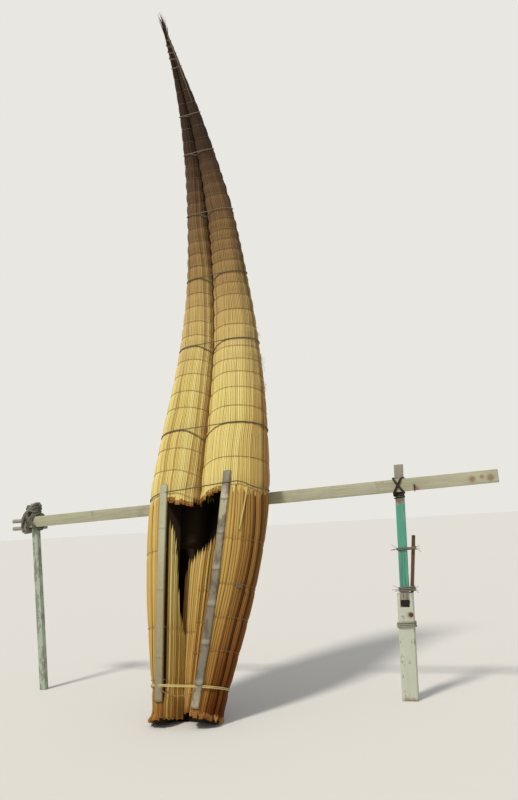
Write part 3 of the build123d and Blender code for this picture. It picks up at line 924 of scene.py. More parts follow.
FINISHES = {
    "straw": ReedFinish(
        "dried_totora_reed_skin", seam_shade="#6B4A1C",
        tones=((0.0, "#8C6A2C"), (0.3, "#BFA052"), (0.55, "#D9C678"), (0.8, "#E4D68E"), (1.0, "#EEE4AE")),
        shaded=((0.0, "#6A4A1F"), (0.35, "#96703A"), (0.7, "#B28B4C"), (1.0, "#C8A566")),
        weathered=((1950, "#DCC680"), (2480, "#CDB06C"), (3000, "#9A7A4B"), (3400, "#755A3D"),
                   (3800, "#463429"), (4450, "#3A2D25")),
    ),
    "stern": ReedFinish(
        "dried_totora_reed_stern", seam_shade="#301C0C", damp="#C08D50", damp_below=1150, specular=0.08,
        seam_power=2.6,
        tones=((0.0, "#6E4B20"), (0.3, "#A27C3C"), (0.55, "#C2A158"), (0.8, "#D6BD76"), (1.0, "#E8D89C")),
        shaded=((0.0, "#482E13"), (0.35, "#7A5225"), (0.7, "#9A6E36"), (1.0, "#B5894A")),
    ),
    "tips": ReedFinish(
        "weathered_totora_reed_tips", tones=((0.0, "#1E1510"), (0.5, "#3A2A1E"), (1.0, "#6B543A")),
        shaded=((0.0, "#150F0B"), (1.0, "#3A2A1E")), seam_shade="#150F0B", damp="#FFFFFF", damp_below=0,
        specular=0.08,
    ),
    "pith": CutFinish(
        "totora_pith_cut_end", ((0.0, "#462810"), (0.4, "#85592A"), (0.7, "#AF8242"), (1.0, "#E2C48C")),
    ),
    "inner": CutFinish(
        "totora_inner_reeds_in_shade", ((0.0, "#221A12"), (0.6, "#35291D"), (1.0, "#483827")),
    ),
    "rope": CordFinish("laid_sedge_rope_brown", ((0.0, "#3C3025"), (0.5, "#6A5844"), (1.0, "#968468"))),
    "tie": CordFinish("thin_sedge_cord", ((0.0, "#6A4A2C"), (0.5, "#8E6C45"), (1.0, "#B7986A"))),
    "pale": CordFinish("fresh_sedge_rope_pale", ((0.0, "#8A7A48"), (0.5, "#B9A868"), (1.0, "#DCCF97"))),
    "bow_cord": CordFinish("dusty_sedge_cord", ((0.0, "#4E4337"), (0.5, "#756857"), (1.0, "#9C8D76"))),
    "rack_rope": CordFinish(
        "old_grey_fibre_rope", ((0.0, "#33312A"), (0.5, "#646155"), (1.0, "#A8A592")), fibre_mm=2.0,
    ),
    "twine": CordFinish("tarred_net_twine", ((0.0, "#141210"), (0.5, "#2E2822"), (1.0, "#574C3F"))),
    "left_cane": CaneFinish(
        "split_cane_green_grey",
        ((0, "#857B5E"), (300, "#918765"), (700, "#9E9877"), (1000, "#AFAD8E"), (1335, "#A5A587")),
        "#6C6553", 0.6,
    ),
    "right_cane": CaneFinish(
        "split_cane_mouldy",
        ((0, "#B8B199"), (130, "#978D74"), (210, "#746B58"), (700, "#796E59"), (980, "#8A8066"),
         (1110, "#A39B77"), (1260, "#A8A384"), (1320, "#736B58"), (1392, "#7D7562")),
        "#3E372D", 0.48,
    ),
    "rail": TimberFinish(
        "weathered_pine_board", ((0.0, "#66634F"), (0.35, "#8F8C73"), (0.65, "#B0AD92"), (1.0, "#CBC8B0")),
        "#836A56", 0.35, along=(0.04, 1, 1),
        stains_and_shadows=((1.283, 0.528, 1.19, 0.03), (1.60, 0.528, 1.225, 0.028), (1.655, 0.528, 1.235, 0.02),
                (1.70, 0.528, 1.228, 0.03)),
    ),
    "left_post": TimberFinish(
        "limewashed_pine_post", ((0.0, "#5B594A"), (0.5, "#807F70"), (1.0, "#A0A090")), "#4C463A", 0.5,
        paint=((0.0, "#8F9C86"), (1.0, "#B4C1AB")), paint_cover=0.36,
        # Painted shadow of the rail, with some dirt, on the post just under the rail.
        stains_and_shadows=((-1.465, 0.56, 1.14, 0.1),), stain_and_shadow_colour="#25231C",
    ),
    "white_post": TimberFinish(
        "chipped_white_paint_on_pine", ((0.0, "#5E574A"), (0.5, "#8F8875"), (1.0, "#ABA593")), "#7A4630", 0.7,
        paint=((0.0, "#A4A895"), (1.0, "#CBCEBB")), paint_cover=0.47,
        stains_and_shadows=((1.172, 0.566, 0.474, 0.026), (1.11, 0.566, 0.0, 0.03), (1.15, 0.566, -0.005, 0.035)),
    ),
    "green_plank": TimberFinish(
        "chipped_green_paint_on_pine", ((0.0, "#5B5648"), (0.5, "#8B8675"), (1.0, "#A8A492")), "#3F3A30", 0.5,
        paint=((0.0, "#35755F"), (1.0, "#62AE94")), paint_cover=0.52, bare_above=1.145, bare_below=0.66,
        # Painted shadow of the rail on the plank just under the rail.
        stains_and_shadows=((1.14, 0.56, 1.175, 0.045),), stain_and_shadow_colour="#25221B",
    ),
    "bark": TimberFinish(
        "stick_in_its_bark", ((0.0, "#2E2117"), (0.5, "#5A4330"), (1.0, "#86694B")), "#221912", 0.6,
        grain_mm=3.0,
    ),
    "spur": TimberFinish(
        "silvered_stick", ((0.0, "#5F5A4F"), (0.5, "#8E897C"), (1.0, "#B8B4A6")), "#3F3A32", 0.5,
        along=(0.05, 1, 1), grain_mm=3.0,
    ),
    # Painted shade in the notch of the right post.
    "notch": TimberFinish("rotten_wood_in_the_notch", ((0.0, "#0E0B08"), (1.0, "#2B2219")), "#0E0B08", 0.5),
    "nail": TimberFinish(
        "rusty_nail_steel", ((0.0, "#2C1A12"), (0.5, "#4E3022"), (1.0, "#6E4A34")), "#22140E", 0.5,
        along=(1, 1, 1), grain_mm=2.0,
    ),
}
Materials = dict[str, Material]


# Reeds


@dataclass
class Zone:
    """A strip of the boat's skin that reeds lie along, and how they lie on it.

    place gives x and n from stations and shares across the strip, each from 0 to 1.
    """

    place: Skin
    stations: Array
    starts: Array
    ends: Array
    leads: Array | None = None
    uneven: float = 0.3
    rise: float = 0.6
    roundness: float = 0.9
    overlap: float = 1.12
    taper: float = 260
    bevel: float = 0
    pointed: bool = False
    clump: tuple[int, int] = (1, 2)
    hollow: float = 0
    # Share added to the painted light of its reeds, which stands also for sun bleaching; below zero it paints
    # shade.
    bleach: float = 0
    cut: float = 8
    knob: float = 0
    patchy: float = 0.22

    @property
    def count(self) -> int:
        """How many reeds lie across it."""
        return len(self.starts)


@dataclass
class Reed:
    """One reed of a zone: its middle and half width at its stations, and how it stands and looks."""

    at: Array
    share: Array
    spread: Array
    rise: float
    tone: float
    lead: float
    seams: tuple[float, float]


@dataclass
class ReedLayer:
    """Lays the reeds of zones, one closed stalk each."""

    half: Half
    rng: Rng

    PROFILE = np.radians([0, 45, 90, 135, 180])
    FLOOR = 1.0
    # Painted light: the way to the key light, and how far each reed's colour moves to its lit ramp as it
    # faces it and everywhere; it stands also for sun bleaching.
    SUN = np.array((-0.48, -0.73, 0.48))
    SUNLIT, SUNLIT_EVERYWHERE = 1.45, 0.22
    # How the reeds vary: waves of their width, shades of their tone, a few sunk ones darkened as painted
    # shade, and lighter painted shade in the seams within a clump
    WAVES, WAVINESS = (500, 1500), 0.12
    TONE_SPREAD = 0.14
    SUNKEN, SUNK_DEPTH, SUNK_SHADE = 0.09, 2.2, 0.3
    INNER_SEAM = 0.55
    # Limits of a stalk, and how it swells at its cut end and comes out from under others
    CLEAR = 4
    HALF_WIDTHS, HEIGHTS = (0.15, 17), (0.3, 10)
    KNOB_LENGTH = 22
    COVERED_WIDTH, COVERED_DEPTH = 0.35, 5
    BEND, BEND_LENGTH = 0.3, 170

    def lay(self, zone: Zone, sort: Callable[[float], Grower | None], slot: int, cut_slot: int) -> None:
        """Lay every reed of a zone.

        Args:
            zone: where the reeds lie.
            sort: picks the mesh that takes a reed, from its share across the zone at its start, if any.
            slot: material slot of the stalks.
            cut_slot: material slot of their ends.
        """
        stations, count, rng = zone.stations, zone.count, self.rng
        weight = rng.uniform(1 - zone.uneven, 1 + zone.uneven, (count, 1))
        wave, phase = rng.uniform(*self.WAVES, (count, 1)), rng.uniform(0, TURN, (count, 1))
        alive = eased((zone.ends[:, None] - stations[None]) / zone.taper)
        weight = weight * (1 + self.WAVINESS * np.sin(TURN * stations[None] / wave + phase))
        if not zone.pointed:
            weight = weight * alive + 1e-6
        total = weight.sum(axis=0)
        middle = (np.cumsum(weight, axis=0) - weight / 2) / total
        half_share = weight / 2 / total * (alive if zone.pointed else 1)
        sizes = rng.integers(*zone.clump, count)
        group = np.repeat(np.arange(count), sizes)[:count]
        order = np.concatenate([np.arange(size) for size in sizes])[:count]
        aside = 2 * (order + 0.5) / sizes[group] - 1
        rise = rng.normal(0, zone.rise, count)[group] - zone.hollow * aside**2
        tones = 0.5 + zone.patchy * rng.normal(0, 1, count)[group]
        tones = tones + self.TONE_SPREAD * rng.normal(0, 1, count)
        sunk = rng.random(count) < self.SUNKEN
        rise, tones = rise - self.SUNK_DEPTH * sunk, np.clip(tones - self.SUNK_SHADE * sunk, 0, 1)
        leads = np.zeros(count) if zone.leads is None else zone.leads
        for k in range(count):
            start, end = zone.starts[k], min(zone.ends[k], stations[-1])
            inside = stations[(stations > start + zone.cut + self.CLEAR) & (stations < end - self.CLEAR)]
            if len(inside) < 2:
                continue
            at = np.concatenate([[start, start + zone.cut], inside, [end]])
            share, spread = np.interp(at, stations, middle[k]), np.interp(at, stations, half_share[k])
            seams = tuple(1.0 if order[k] == edge else self.INNER_SEAM for edge in (sizes[group[k]] - 1, 0))
            grower = sort(float(share[0]))
            if grower:
                reed = Reed(at, share, spread, rise[k], float(tones[k]), float(leads[k]), seams)
                self.stalk(zone, reed, grower, slot, cut_slot)

    def stalk(self, zone: Zone, reed: Reed, grower: Grower, slot: int, cut_slot: int) -> None:
        """Add one reed.

        Args:
            zone: where it lies.
            reed: its course and its looks.
            grower: takes the mesh.
            slot: material slot of the stalk.
            cut_slot: material slot of its ends.
        """
        at, share, sign = reed.at, reed.share, self.half.sign
        step = 1e-3
        x, n = zone.place(at, share)
        (x2, n2), (x1, n1) = zone.place(at, share + step), zone.place(at, share - step)
        size = np.hypot(x2 - x1, n2 - n1)
        tx, tn = (x2 - x1) / size, (n2 - n1) / size
        nx, nn = sign * tn, -sign * tx
        emerge = np.clip((at - at[0]) / reed.lead, 0, 1) if reed.lead else np.ones(len(at))
        half_width = np.clip(reed.spread * size / (2 * step), *self.HALF_WIDTHS) * zone.overlap
        half_width = half_width * (self.COVERED_WIDTH + (1 - self.COVERED_WIDTH) * emerge)
        half_width = half_width * (1 + zone.knob * np.exp(-(at - at[0]) / self.KNOB_LENGTH))
        height = np.clip(half_width * zone.roundness, *self.HEIGHTS)
        bow = reed.rise + self.BEND * np.sin(at / self.BEND_LENGTH + reed.tone * 40)
        lift = np.minimum(bow, 0.5 * half_width) - self.half.dent(at, x, n) - height
        lift = lift - self.COVERED_DEPTH * (1 - emerge)
        cos, sin = np.cos(self.PROFILE), np.sin(self.PROFILE)
        aside, over = half_width[:, None] * cos, lift[:, None] + height[:, None] * sin
        px = x[:, None] + tx[:, None] * aside + nx[:, None] * over
        pn = n[:, None] + tn[:, None] * aside + nn[:, None] * over
        ps = at[:, None] + 0 * px
        ps[0] += zone.bevel * sin
        verts = HULL.place(ps, px, pn)
        verts[..., 2] = np.maximum(verts[..., 2], self.FLOOR * MM)
        rows, sides = px.shape
        lean = HULL.centre(at)[0]
        # Painted light and shade: how the reed faces the key light sets its share of the lit colour.
        facing = nx * self.SUN[0] - nn * np.cos(lean) * self.SUN[1] + nn * np.sin(lean) * self.SUN[2]
        bleach = np.clip(facing * self.SUNLIT + self.SUNLIT_EVERYWHERE + zone.bleach, 0, 1)
        across = np.tile(np.where(cos > 0, cos * reed.seams[0], cos * reed.seams[1]), rows)
        values = {"tone": reed.tone, "station": np.repeat(at * MM, sides), "across": across,
                  "bleach": np.repeat(bleach, sides)}
        quads = grid_faces(rows, sides, False, sign < 0)
        grower.add(verts.reshape(-1, 3), [quads[sides:]], values, slot)
        ends = {"tone": reed.tone, "station": at[0] * MM, "across": 0, "bleach": 1}
        butt = {**ends, "across": across[:2 * sides]} if reed.lead else ends
        grower.add(verts[:2].reshape(-1, 3), [quads[:sides]], butt, slot if reed.lead else cut_slot)
        order = np.arange(sides)[None]
        for ring, face in zip((verts[0], verts[-1]), (order[:, ::sign * -1], order[:, ::sign])):
            grower.add(ring, [face], ends, cut_slot)


def core(grower: Grower, half: Half, stations: Array, section: Callable[[Array], tuple[Array, Array]],
         slot: int) -> None:
    """Closed body under the reeds, dark as painted shade in the gaps and hollows.
        half: side of the boat.
        stations: where its sections lie.
        section: gives x and n of a section at each station, as (stations, points).
        slot: material slot.
    """
    x, n = section(stations)
    verts = HULL.place(stations[:, None] + 0 * x, x, n)
    floor = 4 * MM
    verts[..., 2] = np.maximum(verts[..., 2], floor)
    caps = [cap[:, ::-half.sign] for cap in end_faces(*x.shape)]
    grower.add(verts.reshape(-1, 3), [grid_faces(*x.shape, False, half.sign < 0)] + caps,
               {"tone": 0.3, "station": 0, "across": 0, "bleach": 0}, slot)


@dataclass
class ReedHalf:
    """All the reeds of one side: the outer bundle, the deck bundle, the stern's side and its floor."""

    half: Half
    materials: Materials
    reed_width: float = 9.8
    body_edge: float = math.radians(165)
    deck_edge: float = math.radians(88)
    pocket: float = 1480
    bow_end: float = 4512
    last_reeds: int = 9
    stern_count: int = 52
    wall_count: int = 11
    floor_count: int = 9
    flare_length: float = 95
    under_rope: float = 14
    wall_belly: float = 56
    wall_drop: float = 34
    wall_lift: float = 55
    under_layers: int = 2
    under_ends: tuple[float, float] = (1390, 1450)
    keel_count: int = 6
    keel_rise: float = 1230
    keel_stations: tuple[float, float, float] = (865, 985, 1405)
    core_depth: float = 9
    stern_core_depth: float = 16

    def body_place(self, sink: float) -> Skin:
        """Skin of the bundle ahead of the lip, sunk by a depth."""
        def place(station: Array, share: Array) -> tuple[Array, Array]:
            """Place on the skin."""
            return self.half.outline(station, -self.body_edge + 2 * self.body_edge * share, -sink)
        return place

    def back_angle(self, station: Array) -> Array:
        """Angle on the outline, at the back, at which the skin of the stern meets the well's floor."""
        depth = self.half.radii(station)[2]
        return np.arcsin(np.clip((16 - self.half.bed(station)[1]) / depth, 0.26, 0.97)) - math.pi

    def stern_place(self, station: Array, share: Array) -> tuple[Array, Array]:
        """Outer skin of the stern, from the middle of the back round the flank to the wall.

        Args:
            station: distances along the centreline.
            share: places across the skin, from 0 to 1.

        Returns:
            The x and n of each place.
        """
        back, top = self.back_angle(station), self.half.wall_angle(station)
        angle = back + (top - back) * share
        flank = np.clip(np.cos(angle) + 0.35, 0.25, 1)
        near_heel = np.clip(1 - (station + 14) / self.flare_length, 0, 1) ** 2
        past = station - HULL.lip_rope_station(*self.half.outline(station, angle))
        drawn_in = self.under_rope * np.clip((past + 22) / 26, 0, 1)
        return self.half.outline(station, angle, self.half.heel_flare * flank * near_heel - drawn_in)

    def wall_place(self, station: Array, share: Array) -> tuple[Array, Array]:
        """Wall of the well, rounded from its top to the floor."""
        drop = self.wall_drop * np.clip((station - 60) / 150, 0.2, 1)
        top = self.half.outline(station, self.half.wall_angle(station))[1] - drop
        low = self.half.bed(station)[1] + self.wall_lift * np.clip((station - 430) / 300, 0, 1)
        belly = self.wall_belly * (0.45 * share + 0.55 * np.sqrt(np.clip(1 - (1 - share) ** 2, 0, 1)))
        return self.half.sign * (self.half.wall_x(station) + 6 - belly), top + (low - top) * share

    def floor_place(self, station: Array, share: Array) -> tuple[Array, Array]:
        """Floor of the well, from the wall to the middle of the boat."""
        crown, edge = self.half.bed(station)
        lift = 1 - (1 - share) ** 2
        x = self.half.sign * self.half.wall_x(station) * (1 - share)
        return x, edge - 2 + (crown - edge + 4) * lift

    def keel(self, station: Array) -> tuple[Array, Array]:
        """Level of the reeds that close the back between the two sides, and how far they reach."""
        centre, across, depth = self.half.radii(station)
        share = np.clip((station - self.keel_rise) / 130, 0, 1)
        level = (self.half.bed(station)[1] - 22) * (1 - share) - 0.4 * depth * share
        return level, centre - across * np.sqrt(1 - np.minimum((level / depth) ** 2, 1))

    def keel_place(self, station: Array, share: Array) -> tuple[Array, Array]:
        """Back of the stern under the well's floor, from the middle of the boat to the side's reeds."""
        level, reach = self.keel(station)
        return self.half.sign * (reach + 4) * share, level + 0 * share

    def body_ends(self, rng: Rng, count: int) -> Array:
        """Stations at which the reeds of the body end, so that those left keep their width.

        Args:
            rng: picks which reeds end first.
            count: how many reeds there are.

        Returns:
            A station for each reed.
        """
        stations = np.linspace(self.half.LIP, self.bow_end, 200)
        _, across, depth = self.half.radii(stations)
        fit = 2 * self.body_edge * np.sqrt((across**2 + depth**2) / 2) / self.reed_width
        fit = np.minimum.accumulate(fit)
        ranks = rng.permutation(count) + 1
        return np.where(ranks <= self.last_reeds, self.bow_end, np.interp(-ranks, -fit, stations))

    def body_starts(self, rng: Rng, count: int, behind: float) -> tuple[Array, Array]:
        """Stations at which the body's reeds start: cut at the lip, and fading out past its rope elsewhere.

        Args:
            rng: for their unevenness.
            count: how many reeds there are.
            behind: how far behind the lip's edge they start.

        Returns:
            A station for each reed, and the length over which it comes out from under the others.
        """
        half = self.half
        at = np.full(count, float(half.LIP))
        x, n = self.body_place(0)(at, (np.arange(count) + 0.5) / count)
        deck = (np.abs(x) < half.wall_x(at) + 12) & (n > 0)
        tufts = np.repeat(rng.uniform(-12, 20, count), 3)[:count]
        fringe = HULL.lip(x) + behind + tufts + rng.uniform(-5, 6, count)
        faded = HULL.lip_rope_station(x, n) - rng.uniform(10, 85, count)
        return np.where(deck, fringe, faded), np.where(deck, 0, 30)

    def section_outer(self, station: Array) -> tuple[Array, Array]:
        """Section of the dark body ahead of the lip."""
        angle = np.linspace(-self.body_edge, self.body_edge, 28)[None]
        sink = np.minimum(self.core_depth, 0.3 * self.half.radii(station)[2]) + self.half.dent(station)
        return self.half.outline(station[:, None], angle, -sink[:, None])

    def section_stern(self, station: Array) -> tuple[Array, Array]:
        """Section of the dark body of the stern, open at the well.

        Args:
            station: distances along the centreline.

        Returns:
            The x and n of its points, a row for each station.
        """
        s, sign = station[:, None], self.half.sign
        share = np.linspace(0, 1, 16)[None]
        top = self.half.wall_angle(s)
        x, n = self.half.outline(s, -self.body_edge + (self.body_edge + top) * share, -self.stern_core_depth)
        x = sign * np.maximum(sign * x, -2)
        wall = self.half.wall_x(s) + 14
        edge = self.half.bed(s)[1] - self.stern_core_depth
        x = np.where((n > edge) & (sign * x < wall), sign * wall, x)
        return (np.concatenate([x, sign * wall, 0 * wall - sign * 2], axis=1),
                np.concatenate([n, edge, np.maximum(edge, self.keel(s)[0] + 9)], axis=1))

    def lay_body(self, layer: ReedLayer, mother: Grower, child: Grower) -> None:
        """Lay the outer and the deck bundle, with the reeds under the lip.

        Args:
            layer: lays the reeds.
            mother: takes the outer bundle.
            child: takes the deck bundle.
        """
        half, rng = self.half, layer.rng
        edge_share = (self.body_edge + self.deck_edge) / (2 * self.body_edge)
        _, across, depth = (float(v) for v in half.radii(np.array(1300.0)))
        count = int(2 * self.body_edge * math.hypot(across, depth) / math.sqrt(2) / self.reed_width)
        stations = np.arange(half.LIP - 70, self.bow_end + 20, 20.0)
        starts, leads = self.body_starts(rng, count, 0)
        body = Zone(self.body_place(0), stations, starts, self.body_ends(rng, count), leads,
                    rise=0.8, bevel=9, clump=(2, 4), hollow=1.8, cut=27, knob=0.3, patchy=0.11)
        layer.lay(body, lambda share: child if share > edge_share else mother, 0, 1)
        # The reeds under the top layer take the brown pith finish and a low share of painted light, as
        # painted shade under the lip.
        for k in range(1, self.under_layers + 1):
            starts, leads = self.body_starts(rng, count, 15.0 * k)
            ends = rng.uniform(*self.under_ends, count)
            under = Zone(self.body_place(11 * k), stations, starts, ends, leads,
                         rise=2.0, taper=20, bleach=-0.7)
            layer.lay(under, lambda share: child if share > edge_share else None, 1, 1)
        core(mother, half, np.arange(self.pocket, self.bow_end - 15, 22.0), self.section_outer, 2)

    def lay_stern(self, layer: ReedLayer, side: Grower, floor: Grower) -> None:
        """Lay the stern's outside, the wall and floor of its well, and its back.

        Args:
            layer: lays the reeds.
            side: takes all but the floor.
            floor: takes the floor.
        """
        half, rng, count = self.half, layer.rng, self.stern_count
        foot = np.zeros(1)
        back = self.back_angle(foot)
        angles = back + (np.arange(count) + 0.5) / count * (half.wall_angle(foot) - back)
        _, heights = half.outline(np.zeros(count), angles, half.heel_flare * 0.6)
        lean = math.radians(HULL.lean)
        ground = (2 - heights * math.sin(lean)) / math.cos(lean)
        cut = np.interp(np.degrees(angles), (0, 90), half.heel_cut)
        starts = np.maximum(ground, cut) + rng.uniform(-7, 8, count)
        tops = HULL.lip_rope_station(*half.outline(np.full(count, 1300.0), angles))
        tops = tops + rng.uniform(6, 16, count)
        skin = Zone(self.stern_place, np.arange(-30.0, 1460, 15), starts, tops,
                    uneven=0.35, rise=1.6, taper=10, bevel=15, clump=(2, 5), hollow=6,
                    bleach=half.stern_light_and_bleach, cut=27, knob=0.3)
        layer.lay(skin, lambda share: side, 0, 1)
        stations, top = np.arange(-30.0, self.pocket + 10, 15), half.heel_cut[1]
        # The wall's reeds take the full lit colour, painted light though they face away from the key light;
        # the floor's take little.
        for place, count, tips, cut, take, bleach, slot in (
            (self.wall_place, self.wall_count, half.wall_tips, (top, top + 9), side, 1, 3),
            (self.floor_place, self.floor_count, half.floor_tips, (top + 9, 62), floor, 0.1, 0),
        ):
            share = (np.arange(count) + 0.5) / count
            starts = np.interp(share, (0, 1), cut) + rng.uniform(-4, 5, count)
            ends = np.interp(share, (np.arange(len(tips)) + 0.5) / len(tips), tips)
            ends = ends + rng.uniform(-14, 14, count)
            well = Zone(place, stations, starts, ends, uneven=0.3, rise=1.8, taper=55, bevel=8, pointed=True,
                        clump=(1, 3), hollow=1.5, bleach=bleach, cut=14)
            layer.lay(well, lambda share, take=take: take, slot, 1)
        count, (first, last, end) = self.keel_count, self.keel_stations
        keel = Zone(self.keel_place, np.arange(850.0, 1420, 15), rng.uniform(first, last, count),
                    np.full(count, float(end)), np.full(count, 40.0),
                    rise=0.8, taper=10, bleach=half.stern_light_and_bleach)
        layer.lay(keel, lambda share: side, 0, 1)
        core(side, half, np.arange(half.heel_cut[0] + 2.0, self.pocket + 20, 20), self.section_stern, 2)

    def build(self) -> list[Piece]:
        """Make the meshes of this side.

        Returns:
            Each piece with the node that it stands for and its material slot.
        """
        name, m = self.half.name, self.materials
        layer = ReedLayer(self.half, np.random.default_rng(self.half.seed))
        mother, child, side, floor = Grower(), Grower(), Grower(), Grower()
        self.lay_body(layer, mother, child)
        self.lay_stern(layer, side, floor)
        skins = [m["straw"], m["pith"], m["inner"]]
        stern = [m["stern"], m["pith"], m["inner"], m["straw"]]
        return [
            (mother.make(f"outer_reeds_{name}", skins), f"mother_bundle_{name}", "outer_reeds"),
            (child.make(f"deck_reeds_{name}", skins), f"child_bundle_{name}", "deck_reeds"),
            (side.make(f"stern_side_reeds_{name}", stern), f"stern_side_{name}", "stern_reeds"),
            (floor.make(f"stern_floor_reeds_{name}", stern), f"stern_floor_{name}", "stern_reeds"),
        ]


# Cords and ropes of the hull


@dataclass(frozen=True)
class Loop:
    """A turn of the figure-of-eight round one bundle, by shares of the hull's half width.

    It leaves the main rope at the crown and sinks into the groove.
    """

    half: Half
    cord: Cord
    base: float
    dip: float
    tone: float


@dataclass
class Lashings:
    """The main ropes round both bundles, and the thin cords round each."""

    materials: Materials
    over_lath: float = 7
    rope: Cord = Cord(3.3, twist=22, step=5)
    lip_rope: Cord = Cord(4.0, twist=26, step=5)
    thin: Cord = Cord(1.5, strands=2, twist=12, sides=6, step=9)
    thin_stand: float = 1.9
    well_stand: float = 2.6
    knot_cord: Cord = Cord(1.9, strands=2, twist=10, sides=6, step=3)
    slack_cord: Cord = Cord(2.2, strands=2, twist=14, sides=6, step=7)
    loose_reed: Cord = Cord(5, strands=1, twist=Cord.NOT_TWISTED, sides=8, step=9)
    loops: tuple[Loop, ...] = (
        Loop(LEFT_HALF, Cord(3.2, twist=20, sides=8, step=5), -0.01, 0.16, 0.5),
        Loop(RIGHT_HALF, Cord(2.6, twist=20, sides=7, step=6), -0.01, 0.13, 0.4),
    )
    pale_from: int = 4
    dull_from: float = 2900
    frayed: tuple[float, ...] = (2060, 2150, 2240, 2240, 2420)
    wisps: int = 26
    fibre_radius: float = 0.5
    hidden_from: float = 850
    knot_place: tuple[float, float] = (714, 41)
    # Loops of the knot, each as the ends of its two half axes in millimetres
    knot_loops: tuple[tuple[tuple[float, ...], tuple[float, ...]], ...] = (
        ((8, 0, 3), (0, 4, 5)), ((6, -3, -4), (-3, 5, 3)), ((17, 3, 3), (0, 2, 5)), ((19, 4, -4), (-2, 2, 3)),
    )

    def pair_path(self, station: Callable[[Array], Array], stand: float, over: float = 0, slant: float = 0,
                  tilt: float = 0) -> Array:
        """Closed path of a rope pulled tight round both bundles.

        Args:
            station: gives where it lies at places across the boat.
            stand: distance of its middle from the reeds.
            over: how much higher it lies on the laths.
            slant: degrees that its back is raised over its front.
            tilt: degrees that its right is raised over its left.

        Returns:
            Points in metres.
        """
        place = station(np.zeros(1))
        quarter = np.radians(np.linspace(-90, 104, 44))
        stretch = 1 / math.cos(math.radians(slant))
        dent = 5.0 * float(HULL.bite(place)[0])
        xs, ns = [], []
        for half, angles in ((RIGHT_HALF, quarter), (LEFT_HALF, quarter[::-1])):
            x, n = half.outline(place, angles, stand - dent)
            xs.append(x)
            ns.append((n + over * np.clip(3 * np.sin(angles) - 1.4, 0, 1)) * stretch)
        x, n = np.concatenate(xs), np.concatenate(ns)
        return HULL.place(station(x), x, n, slant, tilt)

    def half_path(self, half: Half, rope: MainRope, stand: float, base: float = 0, dip: float = 0) -> Array:
        """Closed path of a cord round one bundle that dives into the grooves.

        Args:
            half: the bundle.
            rope: the main rope that it goes with, or its own station.
            stand: distance of its middle from the reeds.
            base: how far ahead of the rope it runs, as a share of the hull's half width.
            dip: how much further back it lies in the groove, likewise.

        Returns:
            Points in metres.
        """
        station = np.array([float(rope.station)])
        width = float(HULL.size(station)[0][0])
        angle = np.radians(np.linspace(-168, 168, 90))
        in_groove = eased((np.degrees(angle) - 96) / 64)
        at = rope.at(half.outline(station, angle)[0]) + base * width - dip * width * in_groove
        x, n = half.outline(at, angle, stand - half.dent(at))
        return HULL.place(at, x, n)

    def stern_path(self, half: Half, station: float) -> Array:
        """Closed path of a cord round one side of the stern and down into the well.

        Args:
            half: the side.
            station: where the cord lies.

        Returns:
            Points in metres.
        """
        place = np.array([station], dtype=float)
        angle = np.linspace(-math.radians(160), float(half.wall_angle(place)[0]), 60)
        x, n = half.outline(place, angle, self.well_stand - float(half.dent(place)[0]))
        wall = float(half.wall_x(place)[0]) - 5
        share = np.linspace(0, 1, 14)
        fx, fn = ReedHalf(half, self.materials).floor_place(place + 0 * share, share)
        down = np.linspace(n[-1] - 4, fn[0] + 6, 8)
        if station > self.hidden_from:
            wall, down, fx, fn = wall + 24, down - 20, fx[:2], fn[:2] - 40
        xs = np.concatenate([x, half.sign * (wall + 0 * down), fx[1:], [half.sign * 6.0]])
        ns = np.concatenate([n, down, fn[1:] + 2.0, [n[0] + 12]])
        return HULL.place(place + 0 * xs, xs, ns)

    def sagging(self, station: float, sag: float) -> Array:
        """Open path of a slack cord that hangs from lath to lath under the rope of the stern.

        Args:
            station: where its ends lie.
            sag: how far it hangs down.

        Returns:
            Points in metres.
        """
        at = np.array([station], dtype=float)
        (x1, n1), (x2, n2) = (
            (half.sign * (float(half.lath_x(at)[0]) - 8),
             float(half.outline(at, half.wall_angle(at))[1][0]) + 9)
            for half in HALVES
        )
        share = np.linspace(0, 1, 24)
        low = 1 - (2 * share - 1) ** 2
        return HULL.place(station - sag * low, x1 + (x2 - x1) * share, n1 + (n2 - n1) * share - 6 * low)

    def wisp(self, grower: Grower, rng: Rng) -> None:
        """Add a few loose fibres that curl off the right flank.

        Args:
            grower: takes the mesh.
            rng: for their places and curls.
        """
        station, angle = float(rng.choice(self.frayed) + rng.normal(0, 30)), math.radians(rng.normal(2, 9))
        corner = np.arange(3) * TURN / 3
        section = self.fibre_radius * MM * np.stack([np.cos(corner), np.sin(corner)], axis=-1)
        for _ in range(3):
            run = np.linspace(0, 1, 7)
            reach = rng.uniform(8, 26) * run
            at = station - rng.uniform(0.3, 1.6) * reach
            x, n = RIGHT_HALF.outline(at, angle + rng.normal(0, 0.5) * run**2, reach - 5)
            path = HULL.place(station - rng.uniform(0.2, 1.4) * reach * run, x, n)
            grower.add(*tube(path, lambda along: section + 0 * along[:, None, None]), {"tone": 0.9})

